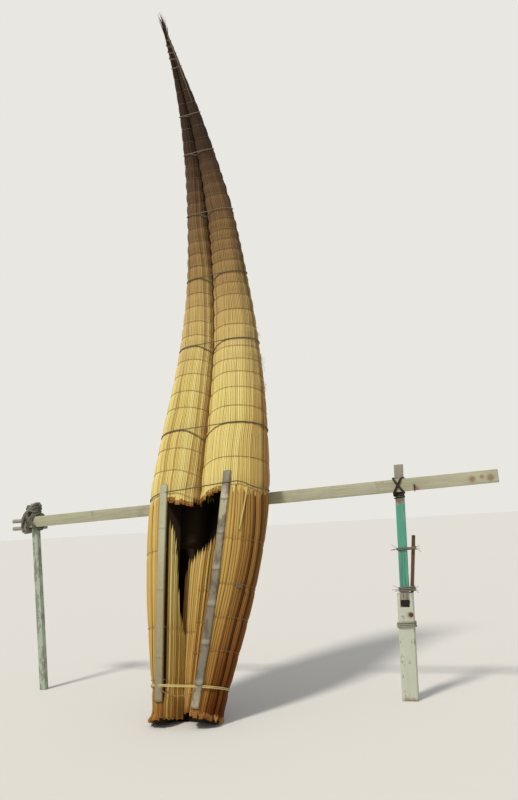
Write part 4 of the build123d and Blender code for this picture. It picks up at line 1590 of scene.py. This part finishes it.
    def stern_extras(self) -> list[Piece]:
        """Make the knot on the stern's side, the reed that came loose beside it, and the slack cord."""
        m = self.materials
        knot, reed, slack = Grower(), Grower(), Grower()
        station, degrees = self.knot_place
        turn = np.linspace(0, TURN, 24, endpoint=False)
        place = np.array([float(station)])
        middle = HULL.place(place, *RIGHT_HALF.outline(place, np.radians(np.array([float(degrees)])), 3))[0]
        for a, b in self.knot_loops:
            path = middle + MM * (np.outer(np.cos(turn), a) + np.outer(np.sin(turn), b))
            self.knot_cord.lay(knot, path, True, tone=0.3)
        place = np.linspace(1305, 1032, 40)
        x, n = RIGHT_HALF.outline(place, np.radians(np.linspace(51, 57, 40)), 1.5 - RIGHT_HALF.dent(place))
        self.loose_reed.lay(reed, HULL.place(place, x, n), tone=0.55)
        self.slack_cord.lay(slack, self.sagging(166, 34))
        return [
            (knot.make("knot_of_the_stern", [m["rack_rope"]]), None, "hull_rope"),
            (reed.make("loose_reed_of_the_stern", [m["pale"]]), None, "stern_reeds"),
            (slack.make("slack_cord_of_the_stern", [m["tie"]]), None, "hull_rope"),
        ]

    def build(self) -> list[Piece]:
        """Make every rope and cord.

        Returns:
            Each piece with the node that it stands for, if any, and its material slot.
        """
        made, m, rng = [], self.materials, np.random.default_rng(5)
        stand = self.rope.radius
        stern, *pairs = Half.ROPES
        grower = Grower()
        for shift, tone in ((0, 0.6), (7, 0.4)):
            path = self.pair_path(lambda x, shift=shift: stern.at(x) + shift, stand, self.over_lath)
            self.rope.lay(grower, path, True, tone)
        made.append((grower.make("lashing_stern_rope", [m["pale"]]), "lashing_stern", "pale_cord"))
        grower = Grower()
        path = self.pair_path(lambda x: HULL.lip_rope - HULL.lip_sag(x), stand + 2, self.over_lath,
                              HULL.lip_slant, HULL.lip_tilt)
        self.lip_rope.lay(grower, path, True)
        made.append((grower.make("lashing_lip_rope", [m["rope"]]), "lashing_lip", "hull_rope"))
        for k, rope in enumerate(pairs, start=1):
            grower = Grower()
            self.rope.lay(grower, self.pair_path(rope.at, stand), True)
            for loop in self.loops:
                path = self.half_path(loop.half, rope, loop.cord.radius - 0.2, loop.base, loop.dip)
                loop.cord.lay(grower, path, True, loop.tone)
            finish = m["bow_cord"] if k >= self.pale_from else m["rope"]
            made.append((grower.make(f"lashing_{k}_rope", [finish]), f"lashing_{k}", "hull_rope"))
        for half in HALVES:
            grower = Grower()
            for station in half.cords:
                path = self.half_path(half, MainRope(station), self.thin_stand, 0, rng.uniform(0.02, 0.09))
                self.thin.lay(grower, path, True, float(rng.uniform(0.2, 0.9)), int(station > self.dull_from))
            for station in half.stern_cords:
                self.thin.lay(grower, self.stern_path(half, station), True, float(rng.uniform(0.2, 0.9)))
            made.append((grower.make(f"thin_cords_{half.name}", [m["tie"], m["rope"]]), None, "hull_rope"))
        grower = Grower()
        for _ in range(self.wisps):
            self.wisp(grower, rng)
        made.append((grower.make("loose_fibres", [m["pale"]]), None, "pale_cord"))
        return made + self.stern_extras()


@dataclass
class Bow:
    """The cord wound round the tip, and the frayed reeds past it."""

    materials: Materials
    start: float = 4356
    end: float = 4486
    pitch: float = 39
    cord: Cord = Cord(2.6, twist=15, sides=8, step=3)
    thin: Cord = Cord(2.0, strands=2, twist=12, sides=6, step=3)
    tip_count: int = 72
    root: float = 4470
    # Pale strands along the crown, whose pale colour paints its highlight: first and last station, degrees
    # round it, and radius
    strands: tuple[tuple[float, float, float, float], ...] = ((4080, 4540, 52, 2.6), (4200, 4515, 64, 2.2))

    def binding(self) -> Object:
        """Cord wound round the tip, turn by turn."""
        turns = (self.end - self.start) / self.pitch
        angle = np.linspace(0, TURN * turns, int(turns * 40))
        station = self.start + self.pitch * angle / TURN
        width, depth = HULL.size(station)
        x, n = (width + 1.6) * np.cos(angle), (depth + 1.6) * np.sin(angle)
        grower = Grower()
        self.cord.lay(grower, HULL.place(station, x, n))
        self.thin.lay(grower, HULL.place(station + 5, x, n), tone=0.3)
        return grower.make("bow_cord", [self.materials["bow_cord"]])

    def tuft(self) -> Object:
        """Frayed reeds past the tip: most carry on, and every fourth leans to the right and is short."""
        rng = np.random.default_rng(71)
        grower = Grower()
        lean = float(HULL.centre(np.array([self.root]))[0][0])
        run = np.linspace(0, 1, 9)
        past = np.clip(run - 0.2, 0, 1)
        corner = np.arange(5) * TURN / 5
        section = np.stack([np.cos(corner), 0.5 * np.sin(corner)], axis=-1)
        for k in range(self.tip_count):
            aside = k % 4 == 0
            across = math.radians(rng.normal(15, 3) if aside else rng.normal(4, 5))
            up = math.radians(rng.normal(3.2, 2.6))
            length = rng.uniform(55, 100) if aside else rng.uniform(85, 190)
            x0, n0 = rng.uniform(-10, 10), rng.uniform(-5.5, 5.5)
            x = x0 * (1 - 0.4 * run) + past * length * math.tan(across) + rng.normal(0, 5) * run**2
            n = n0 + run * length * math.tan(up) + rng.normal(0, 3.5) * run**2
            base = HULL.place(np.full(len(run), self.root), x, n)
            path = base + np.outer(run * length * MM, (0, math.sin(lean), math.cos(lean)))
            thick = rng.uniform(2.6, 5.0) * MM

            def ring(along: Array, thick: float = thick) -> Array:
                """Flat section that narrows to the tip."""
                return thick * (1 - 0.9 * (along / along[-1]) ** 1.5)[:, None, None] * section

            values = {"tone": rng.uniform(0, 1), "station": 4.4, "across": 0, "bleach": 0.6}
            grower.add(*tube(path, ring), values)
        return grower.make("bow_tips", [self.materials["tips"]])

    def ridge(self) -> Object:
        """Pale strands along the crown of the right bundle to the tip, their paleness a painted highlight on
        that crown.
        """
        grower = Grower()
        for start, end, degrees, radius in self.strands:
            station = np.linspace(start, end, 90)
            angle = np.radians(degrees + 5 * np.sin(station / 90))
            sink = RIGHT_HALF.dent(station) - 0.6 + 4 * np.clip(1 - (station - start) / 60, 0, 1)
            path = HULL.place(station, *RIGHT_HALF.outline(station, angle, -sink))
            Cord(radius, strands=1, twist=Cord.NOT_TWISTED, sides=7, step=9).lay(grower, path, tone=0.8)
        return grower.make("bow_ridge_reeds", [self.materials["bow_cord"]])

    def build(self) -> list[Piece]:
        """Make all three pieces."""
        return [(self.binding(), "bow_binding", "hull_rope"), (self.tuft(), "bow_tuft", "dark_reeds"),
                (self.ridge(), None, "dark_reeds")]


# Laths


@dataclass
class Lath:
    """A split-cane lath on the edge of the well."""

    half: Half
    material: Material
    slot: str
    joints: tuple[float, ...]
    ring_depth: float = 0.7
    band_depth: float = 0.0
    width: float = 48
    thickness: float = 16
    seat: float = 8

    # Its section: places across it from -1 to 1, and their shares of its height
    ACROSS = np.array([-1, -0.96, -0.7, -0.35, 0, 0.35, 0.7, 0.96, 1, 0.9, -0.9])
    LEVEL = np.array([0.35, 0.82, 0.95, 0.99, 1, 0.99, 0.95, 0.82, 0.35, 0, 0])
    JOINT_ROWS = (-7, -3, 0, 3, 7)

    def build(self) -> Piece:
        """Make the lath, crowned across, with a ridge at each joint of the cane.

        Returns:
            It, the node that it stands for and its material slot.
        """
        foot, head = self.half.lath_foot[0], self.half.lath_head[0]
        rows = [np.array([joint + row for row in self.JOINT_ROWS]) for joint in self.joints]
        at = np.unique(np.concatenate([np.linspace(foot, head, 90)] + rows))
        at = at[(at >= foot) & (at <= head)]
        centre, across, depth = self.half.radii(at)
        x = self.half.lath_x(at)
        bottom = depth * np.sqrt(1 - ((x - centre) / across) ** 2) - self.seat
        ridge = sum(np.exp(-((at - joint) / 4.5) ** 2) for joint in self.joints)
        half_width = self.width / 2 + ridge + 0.8 * np.sin(at / 130 + self.half.seed)
        px = self.half.sign * x[:, None] + half_width[:, None] * self.ACROSS
        pn = bottom[:, None] + (self.thickness + 1.6 * ridge)[:, None] * self.LEVEL
        verts = HULL.place(at[:, None] + 0 * px, px, pn)
        sides = px.shape[1]
        pale = sum(np.exp(-((at - joint - 18) / 11) ** 2) for joint in self.joints)
        values = {"station": np.repeat(at * MM, sides),
                  "ring": np.repeat(self.ring_depth * np.clip(ridge, 0, 1), sides),
                  "band": np.repeat(np.clip(self.band_depth * pale, 0, 1), sides)}
        grower = Grower()
        grower.add(verts.reshape(-1, 3), [grid_faces(*px.shape)] + end_faces(*px.shape), values)
        made = grower.make(f"cane_lath_{self.half.name}", [self.material])
        fix_normals(made)
        return made, f"gunwale_lath_{self.half.name}", self.slot


# Rack


@dataclass
class Timber:
    """A timber of the rack, worn from the sharp solid that the frame gives."""

    node: str
    name: str
    material: Material
    slot: str
    axis: int
    bevel: float = 4
    wear: float = 2.2
    step: float = 30
    face_wear: float = 0.35

    def build(self) -> Piece:
        """Copy the node's solid, round its edges, cut it along its length and wear it.

        Returns:
            It, the node that it stands for and its material slot.
        """
        mesh = bmesh.new()
        mesh.from_mesh(bpy.data.objects[self.node].data)
        bmesh.ops.remove_doubles(mesh, verts=mesh.verts[:], dist=0.02 * MM)
        bmesh.ops.dissolve_limit(mesh, angle_limit=math.radians(2), verts=mesh.verts[:], edges=mesh.edges[:])
        bmesh.ops.bevel(mesh, geom=mesh.edges[:], offset=self.bevel * MM, segments=2, profile=0.6,
                        affect="EDGES", clamp_overlap=True)
        places = [vert.co[self.axis] for vert in mesh.verts]
        low, high = min(places), max(places)
        ahead = Vector([1.0 if k == self.axis else 0.0 for k in range(3)])
        for k in range(1, int((high - low) / (self.step * MM))):
            bmesh.ops.bisect_plane(mesh, geom=mesh.verts[:] + mesh.edges[:] + mesh.faces[:],
                                   plane_co=ahead * (low + k * self.step * MM), plane_no=ahead, dist=1e-6)
        bmesh.ops.triangulate(mesh, faces=[face for face in mesh.faces if len(face.verts) > 4])
        mesh.normal_update()
        for vert in mesh.verts:
            spot = Vector(vert.co)
            rough = noise.noise(spot * 22) * 0.5 + noise.noise(spot * 70 + Vector((5, 0, 0))) * 0.5
            ways = {tuple(round(c, 1) for c in face.normal) for face in vert.link_faces}
            share = 1.0 if len(ways) > 1 else self.face_wear
            vert.co = spot - vert.normal * (abs(rough) * self.wear * share * MM)
        made = mesh_object(self.name, mesh, self.material)
        made.data.polygons.foreach_set("use_smooth", np.full(len(made.data.polygons), True))
        made.data.set_sharp_from_angle(angle=math.radians(35))
        return made, self.node, self.slot


@dataclass(frozen=True)
class Turns:
    """Turns of rope: where their middle is moved to, their tip in degrees, reach and number."""

    shift: float
    tilt: float
    reach: float
    count: float


@dataclass
class Rack:
    """The rail, its posts and sticks, and the ropes that tie them."""

    materials: Materials
    old_rope: Cord = Cord(9, twist=48, sides=10, step=7)
    on_spurs: tuple[Turns, ...] = (
        Turns(-4, 90, 50, 3.6), Turns(6, 74, 54, 2.6), Turns(-8, 108, 52, 2.4), Turns(0, 90, 60, 1.6),
    )
    on_post: tuple[Turns, ...] = (
        Turns(0, 0, 36, 2.6), Turns(4, 18, 42, 2.0), Turns(-6, -24, 42, 1.8), Turns(8, 40, 44, 1.3),
    )
    twine: Cord = Cord(3.4, twist=20, step=5)
    strand: Cord = Cord(1.2, strands=2, twist=12, sides=6, step=6)
    frayed_end: Cord = Cord(1.5, strands=2, twist=14, sides=6, step=4)
    ends: int = 7
    # Radius and distance behind the face of each ring of the bolt; radius, reach and height of the nail's
    bolt_rings: tuple[tuple[float, float], ...] = ((13, 7), (13, 2), (10, 0), (3, -0.5))
    nail_rings: tuple[tuple[float, float, float], ...] = (
        (2.6, -4, 1.178), (2.6, 4, 1.216), (7, 4, 1.216), (7, 4, 1.219),
    )

    def wrap(self, centre: Vector, half_width: float, half_depth: float, tilt: float, turns: float,
             pitch: float, rng: Rng, jitter: float = 2.0) -> Array:
        """Path of turns of rope round timbers.

        Args:
            centre: middle of the turns, in metres.
            half_width: half of what they enclose across, in millimetres.
            half_depth: half of what they enclose in depth.
            tilt: degrees that the turns are tipped.
            turns: how many.
            pitch: from turn to turn.
            rng: for their unevenness.
            jitter: how uneven they are.

        Returns:
            Points in metres.
        """
        def square(value: Array) -> Array:
            """Rounded square wave of a sine."""
            return np.sign(value) * np.abs(value) ** 0.45

        angle = np.linspace(0, TURN * turns, int(turns * 40))
        t = math.radians(tilt)
        wobble = jitter * np.sin(angle * 0.7 + rng.uniform(0, 6))
        swell = 1 + 0.03 * np.sin(angle * 1.3 + rng.uniform(0, 6))
        across = np.outer(half_width * square(np.cos(angle)) * swell, (math.cos(t), 0, math.sin(t)))
        deep = np.outer(half_depth * square(np.sin(angle)) * swell, (0, 1, 0))
        shift = pitch * (angle / TURN - turns / 2) + wobble
        return np.array(centre) + MM * (across + deep + np.outer(shift, (-math.sin(t), 0, math.cos(t))))

    def ball(self, rng: Rng) -> Object:
        """Old rope balled round the spurs and the top of the left post.

        Args:
            rng: for the unevenness of the turns.

        Returns:
            The ball as one object.
        """
        spurs, post = (sum(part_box(node), Vector()) / 2 for node in ("rack_spurs_left", "rack_post_left"))
        ball = Grower()
        for turns in self.on_spurs:
            middle = Vector((-1.556 + turns.shift * MM, spurs.y, spurs.z))
            path = self.wrap(middle, turns.reach, 0.5 * turns.reach, turns.tilt, turns.count, 19, rng)
            self.old_rope.lay(ball, path, tone=float(rng.uniform(0.6, 1.0)))
        for turns in self.on_post:
            middle = Vector((-1.478, post.y, 1.243 + turns.shift * MM))
            path = self.wrap(middle, turns.reach, 0.9 * turns.reach, turns.tilt, turns.count, 18, rng)
            self.old_rope.lay(ball, path, tone=float(rng.uniform(0.3, 0.9)))
        run = np.linspace(0, 1, 30)[:, None]
        for drop in (0, 16 * MM):
            start = np.array((-1.585, spurs.y - 0.034, 1.13 - drop))
            end = np.array((-1.505, post.y - 0.034, 1.236 - drop))
            bow = np.array((-0.012, 0, 0.012)) * np.sin(math.pi * run)
            self.old_rope.lay(ball, start + (end - start) * run + bow)
        return ball.make("old_rope_on_the_spurs", [self.materials["rack_rope"]])

    def notch_shade(self) -> Object:
        """Ragged dark block in the notch of the right post, under the plank's foot, that paints the notch's
        shade.
        """
        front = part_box("rack_post_right")[0].y
        mesh = bmesh.new()
        bmesh.ops.create_cube(mesh, size=1)
        bmesh.ops.subdivide_edges(mesh, edges=mesh.edges[:], cuts=5, use_grid_fill=True)
        for vert in mesh.verts:
            x, y, z = vert.co
            vert.co = Vector((1.153 + x * 0.044, front + 0.0092 + y * 0.02, 0.545 + z * 0.036))
            rough = noise.noise(vert.co * 70), 0, noise.noise(vert.co * 70 + Vector((3, 0, 0)))
            vert.co += Vector(rough) * 14 * MM
        return mesh_object("notch_rot", mesh, self.materials["notch"])

    def bolts(self) -> Object:
        """The rusty bolt in the right post, and the nail in the rail."""
        grower = Grower()
        angle = np.arange(12) * TURN / 12
        faces = [grid_faces(4, 12, False, True)] + end_faces(4, 12)
        cosine, sine = MM * np.cos(angle), MM * np.sin(angle)
        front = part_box("rack_post_right")[0].y - 2.5 * MM
        rings = [np.stack([1.177 + r * cosine, front + d * MM + 0 * angle, 0.478 + r * sine], axis=-1)
                 for r, d in self.bolt_rings]
        grower.add(np.concatenate(rings), faces, {"tone": 0.5})
        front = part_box("rack_rail")[0].y - 3 * MM
        rings = [np.stack([1.272 + r * cosine, front - d * MM + r * sine, z + 0 * angle], axis=-1)
                 for r, d, z in self.nail_rings]
        grower.add(np.concatenate(rings), faces, {"tone": 0.3})
        made = grower.make("rusty_bolts", [self.materials["nail"]])
        fix_normals(made)
        return made

    def crossings(self, rng: Rng) -> list[Piece]:
        """Make the crossed ropes that tie the rail to its posts.

        Args:
            rng: for the unevenness of the turns.

        Returns:
            Each rope with the node that it stands for and its material slot.
        """
        made = []
        for node, cord, tilts, share, finish in (
            ("rack_lashing_left", Cord(6.5, twist=36, step=7), (52, -50, 58), 0.78, "rack_rope"),
            ("rack_lashing_right", self.twine, (57, -57, 60), 0.86, "twine"),
        ):
            low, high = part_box(node)
            size = (high - low) / 2 / MM
            reach = (size.z / math.sin(math.radians(60)) - 12) * share
            grower = Grower()
            for tilt in tilts:
                path = self.wrap((low + high) / 2, reach, size.y - 6, tilt, 1.9, cord.radius * 2.1, rng)
                cord.lay(grower, path, tone=float(rng.uniform(0.2, 0.8)))
            made.append((grower.make(f"{node}_rope", [self.materials[finish]]), node, "rack_rope"))
        return made

    def ties(self, rng: Rng) -> list[Piece]:
        """Make the ties of the stick, with frayed ends, and the wrap of the post.

        Args:
            rng: for the unevenness of the turns.

        Returns:
            Each rope with the node that it stands for and its material slot.
        """
        made = []
        for node, radius, turns, tone, ends in (
            ("rack_lashing_stick_lower", 4.5, 3, 0.45, self.ends),
            ("rack_lashing_stick_upper", 4.0, 2, 0.45, self.ends),
            ("rack_lashing_post", 5.0, 3, 0.95, 0),
        ):
            low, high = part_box(node)
            centre, size = (low + high) / 2, (high - low) / 2 / MM
            grower = Grower()
            path = self.wrap(centre, size.x - 7, size.y - 7, 2, turns, radius * 1.9, rng, 1.0)
            Cord(radius, twist=24, step=5).lay(grower, path, tone=tone)
            for k in range(ends):
                way = 1 if k % 2 else -1
                run = np.linspace(0, 1, 12)[:, None]
                start = np.array((centre.x + way * (size.x - 12) * MM, low.y + 0.008,
                                  centre.z + rng.normal(0, 4) * MM))
                reach = MM * np.array((way * rng.uniform(22, 48), -rng.uniform(0, 12), rng.normal(4, 14)))
                curl = MM * np.array((0, 0, rng.normal(-6, 10)))
                self.frayed_end.lay(grower, start + reach * run + curl * run**2, tone=0.8)
            made.append((grower.make(f"{node}_rope", [self.materials["rack_rope"]]), node, "rack_rope"))
        return made

    def slack(self, rng: Rng) -> Object:
        """Turns of twine under the rail, and the strands that hang down the plank from tie to tie.

        Args:
            rng: for the unevenness of the turns.

        Returns:
            All of them as one object.
        """
        low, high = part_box("rack_plank_right")
        upper, lower = (sum(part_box(f"rack_lashing_stick_{name}"), Vector()) / 2
                        for name in ("upper", "lower"))
        grower = Grower()
        # Turns of dark twine under the rail; their dark mass also paints the rail's shadow on the plank.
        middle = Vector(((low.x + high.x) / 2 + 0.004, (low.y + high.y) / 2, 1.162))
        path = self.wrap(middle, 30, (high.y - low.y) / 2 / MM + 3, 3, 4, 8, rng, 3.0)
        self.twine.lay(grower, path, tone=0.2)
        for shift in (-8, 7):
            run = np.linspace(0, 1, 24)[:, None]
            front = low.y - 0.004
            start = np.array((upper.x - 0.022 + shift * MM, front, upper.z))
            foot = lower.z - 0.03 - rng.uniform(0, 0.04)
            end = np.array((lower.x - 0.014 + shift * 1.4 * MM, front, foot))
            wave = np.array((2.5 * MM, 0, 0)) * np.sin(run * rng.uniform(5, 9))
            self.strand.lay(grower, start + (end - start) * run + wave, tone=0.3, slot=1)
        return grower.make("twine_on_the_plank", [self.materials["twine"], self.materials["rack_rope"]])

    def build(self) -> list[Piece]:
        """Make the timbers and their ropes.

        Returns:
            Each piece with the node that it stands for, if any, and its material slot.
        """
        m, rng = self.materials, np.random.default_rng(90)
        timbers = (
            Timber("rack_rail", "rail_board", m["rail"], "rail_board", 0),
            Timber("rack_post_left", "post_left", m["left_post"], "pale_paint", 2, bevel=3),
            Timber("rack_post_right", "post_right", m["white_post"], "white_paint", 2),
            Timber("rack_plank_right", "plank_right", m["green_plank"], "green_paint", 2, 2.5, 1.6),
            Timber("rack_stick_right", "stick_right", m["bark"], "bark", 2, 2, 3.0),
            Timber("rack_spurs_left", "spurs_left", m["spur"], "bark", 0, 2, 3.0),
        )
        made = [timber.build() for timber in timbers]
        made += [(self.notch_shade(), None, "bark"), (self.bolts(), None, "bark"),
                 (self.ball(rng), None, "rack_rope")]
        made += self.crossings(rng) + self.ties(rng)
        return made + [(self.slack(rng), None, "rack_rope")]


# Stage


@dataclass
class Stage:
    """Floor, lights and the camera at the photograph's place."""

    eye: tuple[float, float, float] = (1.958, -3.7438, 1.1059)
    heading: float = 20.754
    rise: float = 8.982
    roll: float = -3.668
    focal_pixels: float = 720.15
    frame_height: float = 800
    sensor: float = 36
    clip_end: float = 200
    floor_size: float = 60
    floor_colour: str = "#D2CFC8"
    floor_roughness: float = 0.95
    floor_specular: float = 0.1
    towards_sun: tuple[float, float, float] = (-0.31, -0.84, 1.22)
    sun_energy: float = 2.5
    sun_angle: float = 9
    sun_colour: tuple[float, ...] = (1.0, 0.965, 0.9)
    sky_colour: tuple[float, ...] = (0.93, 0.96, 1.0, 1)
    sky_strength: float = 0.58
    backdrop: str = "#E9E7E2"

    def camera(self) -> None:
        """Make the camera."""
        heading, rise, roll = (math.radians(v) for v in (self.heading, self.rise, self.roll))
        flat = Vector((-math.sin(heading), math.cos(heading), 0))
        forward = flat * math.cos(rise) + Vector((0, 0, math.sin(rise)))
        side = forward.cross(Vector((0, 0, 1))).normalized()
        up = side.cross(forward)
        right = side * math.cos(roll) + up * math.sin(roll)
        over = up * math.cos(roll) - side * math.sin(roll)
        data = bpy.data.cameras.new("camera")
        data.sensor_width = self.sensor
        data.lens = self.focal_pixels / self.frame_height * self.sensor
        data.clip_end = self.clip_end
        made = linked("camera", data)
        turned = Matrix((right, over, -forward)).transposed().to_4x4()
        made.matrix_world = Matrix.Translation(self.eye) @ turned
        bpy.context.scene.camera = made

    def floor(self) -> None:
        """Make the pale floor."""
        mesh = bpy.data.meshes.new("floor")
        corners = ((-1, -1), (1, -1), (1, 1), (-1, 1))
        corners = [(self.floor_size * x, self.floor_size * y, 0) for x, y in corners]
        mesh.from_pydata(corners, [], [(0, 1, 2, 3)])
        made = linked("floor", mesh)
        material, _ = new_material("pale_matt_floor")
        shader = material.node_tree.nodes["Principled BSDF"]
        shader.inputs["Base Color"].default_value = linear(self.floor_colour)
        shader.inputs["Roughness"].default_value = self.floor_roughness
        shader.inputs["Specular IOR Level"].default_value = self.floor_specular
        mesh.materials.append(material)

    def lights(self) -> None:
        """Make a soft key light from the upper left, and an even sky behind a plain backdrop."""
        key = bpy.data.lights.new("key", "SUN")
        key.energy = self.sun_energy
        key.angle = math.radians(self.sun_angle)
        key.color = self.sun_colour
        linked("key", key).rotation_euler = Vector(self.towards_sun).to_track_quat("Z", "Y").to_euler()
        world = bpy.data.worlds.new("sky")
        world.use_nodes = True
        bpy.context.scene.world = world
        nodes, links = world.node_tree.nodes, world.node_tree.links
        light = nodes["Background"]
        light.inputs["Color"].default_value = self.sky_colour
        light.inputs["Strength"].default_value = self.sky_strength
        seen = nodes.new("ShaderNodeBackground")
        seen.inputs["Color"].default_value = linear(self.backdrop)
        path = nodes.new("ShaderNodeLightPath")
        seen_by = path.outputs["Is Camera Ray"]
        for ray in ("Is Glossy Ray", "Is Transmission Ray"):
            either = nodes.new("ShaderNodeMath")
            either.operation = "MAXIMUM"
            links.new(seen_by, either.inputs[0])
            links.new(path.outputs[ray], either.inputs[1])
            seen_by = either.outputs[0]
        pick = nodes.new("ShaderNodeMixShader")
        for source, target in ((seen_by, 0), (light.outputs[0], 1), (seen.outputs[0], 2)):
            links.new(source, pick.inputs[target])
        links.new(pick.outputs[0], nodes["World Output"].inputs["Surface"])

    def build(self) -> None:
        """Make everything round the object."""
        self.camera()
        self.floor()
        self.lights()
        bpy.context.scene.view_settings.view_transform = "Standard"


def main() -> None:
    """Build every part in order and report each piece."""
    logging.basicConfig(level=logging.INFO, format="%(message)s")
    Stage().build()
    m = {name: finish.make() for name, finish in FINISHES.items()}
    pieces: list[Piece] = []
    for half in HALVES:
        pieces += ReedHalf(half, m).build()
    pieces += Lashings(m).build() + Bow(m).build()
    pieces.append(Lath(LEFT_HALF, m["left_cane"], "pale_cane", (330, 700, 1060), 0.35).build())
    joints = (190, 395, 600, 800, 1010, 1215)
    pieces.append(Lath(RIGHT_HALF, m["right_cane"], "grey_cane", joints, 0.7, 0.4).build())
    pieces += Rack(m).build()
    for made, node, slot in pieces:
        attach(made, "root")
        if node:
            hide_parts(node)
        log.info("%s: %d faces, stands for %s", made.name, len(made.data.polygons), node)


if __name__ == "__main__":
    main()
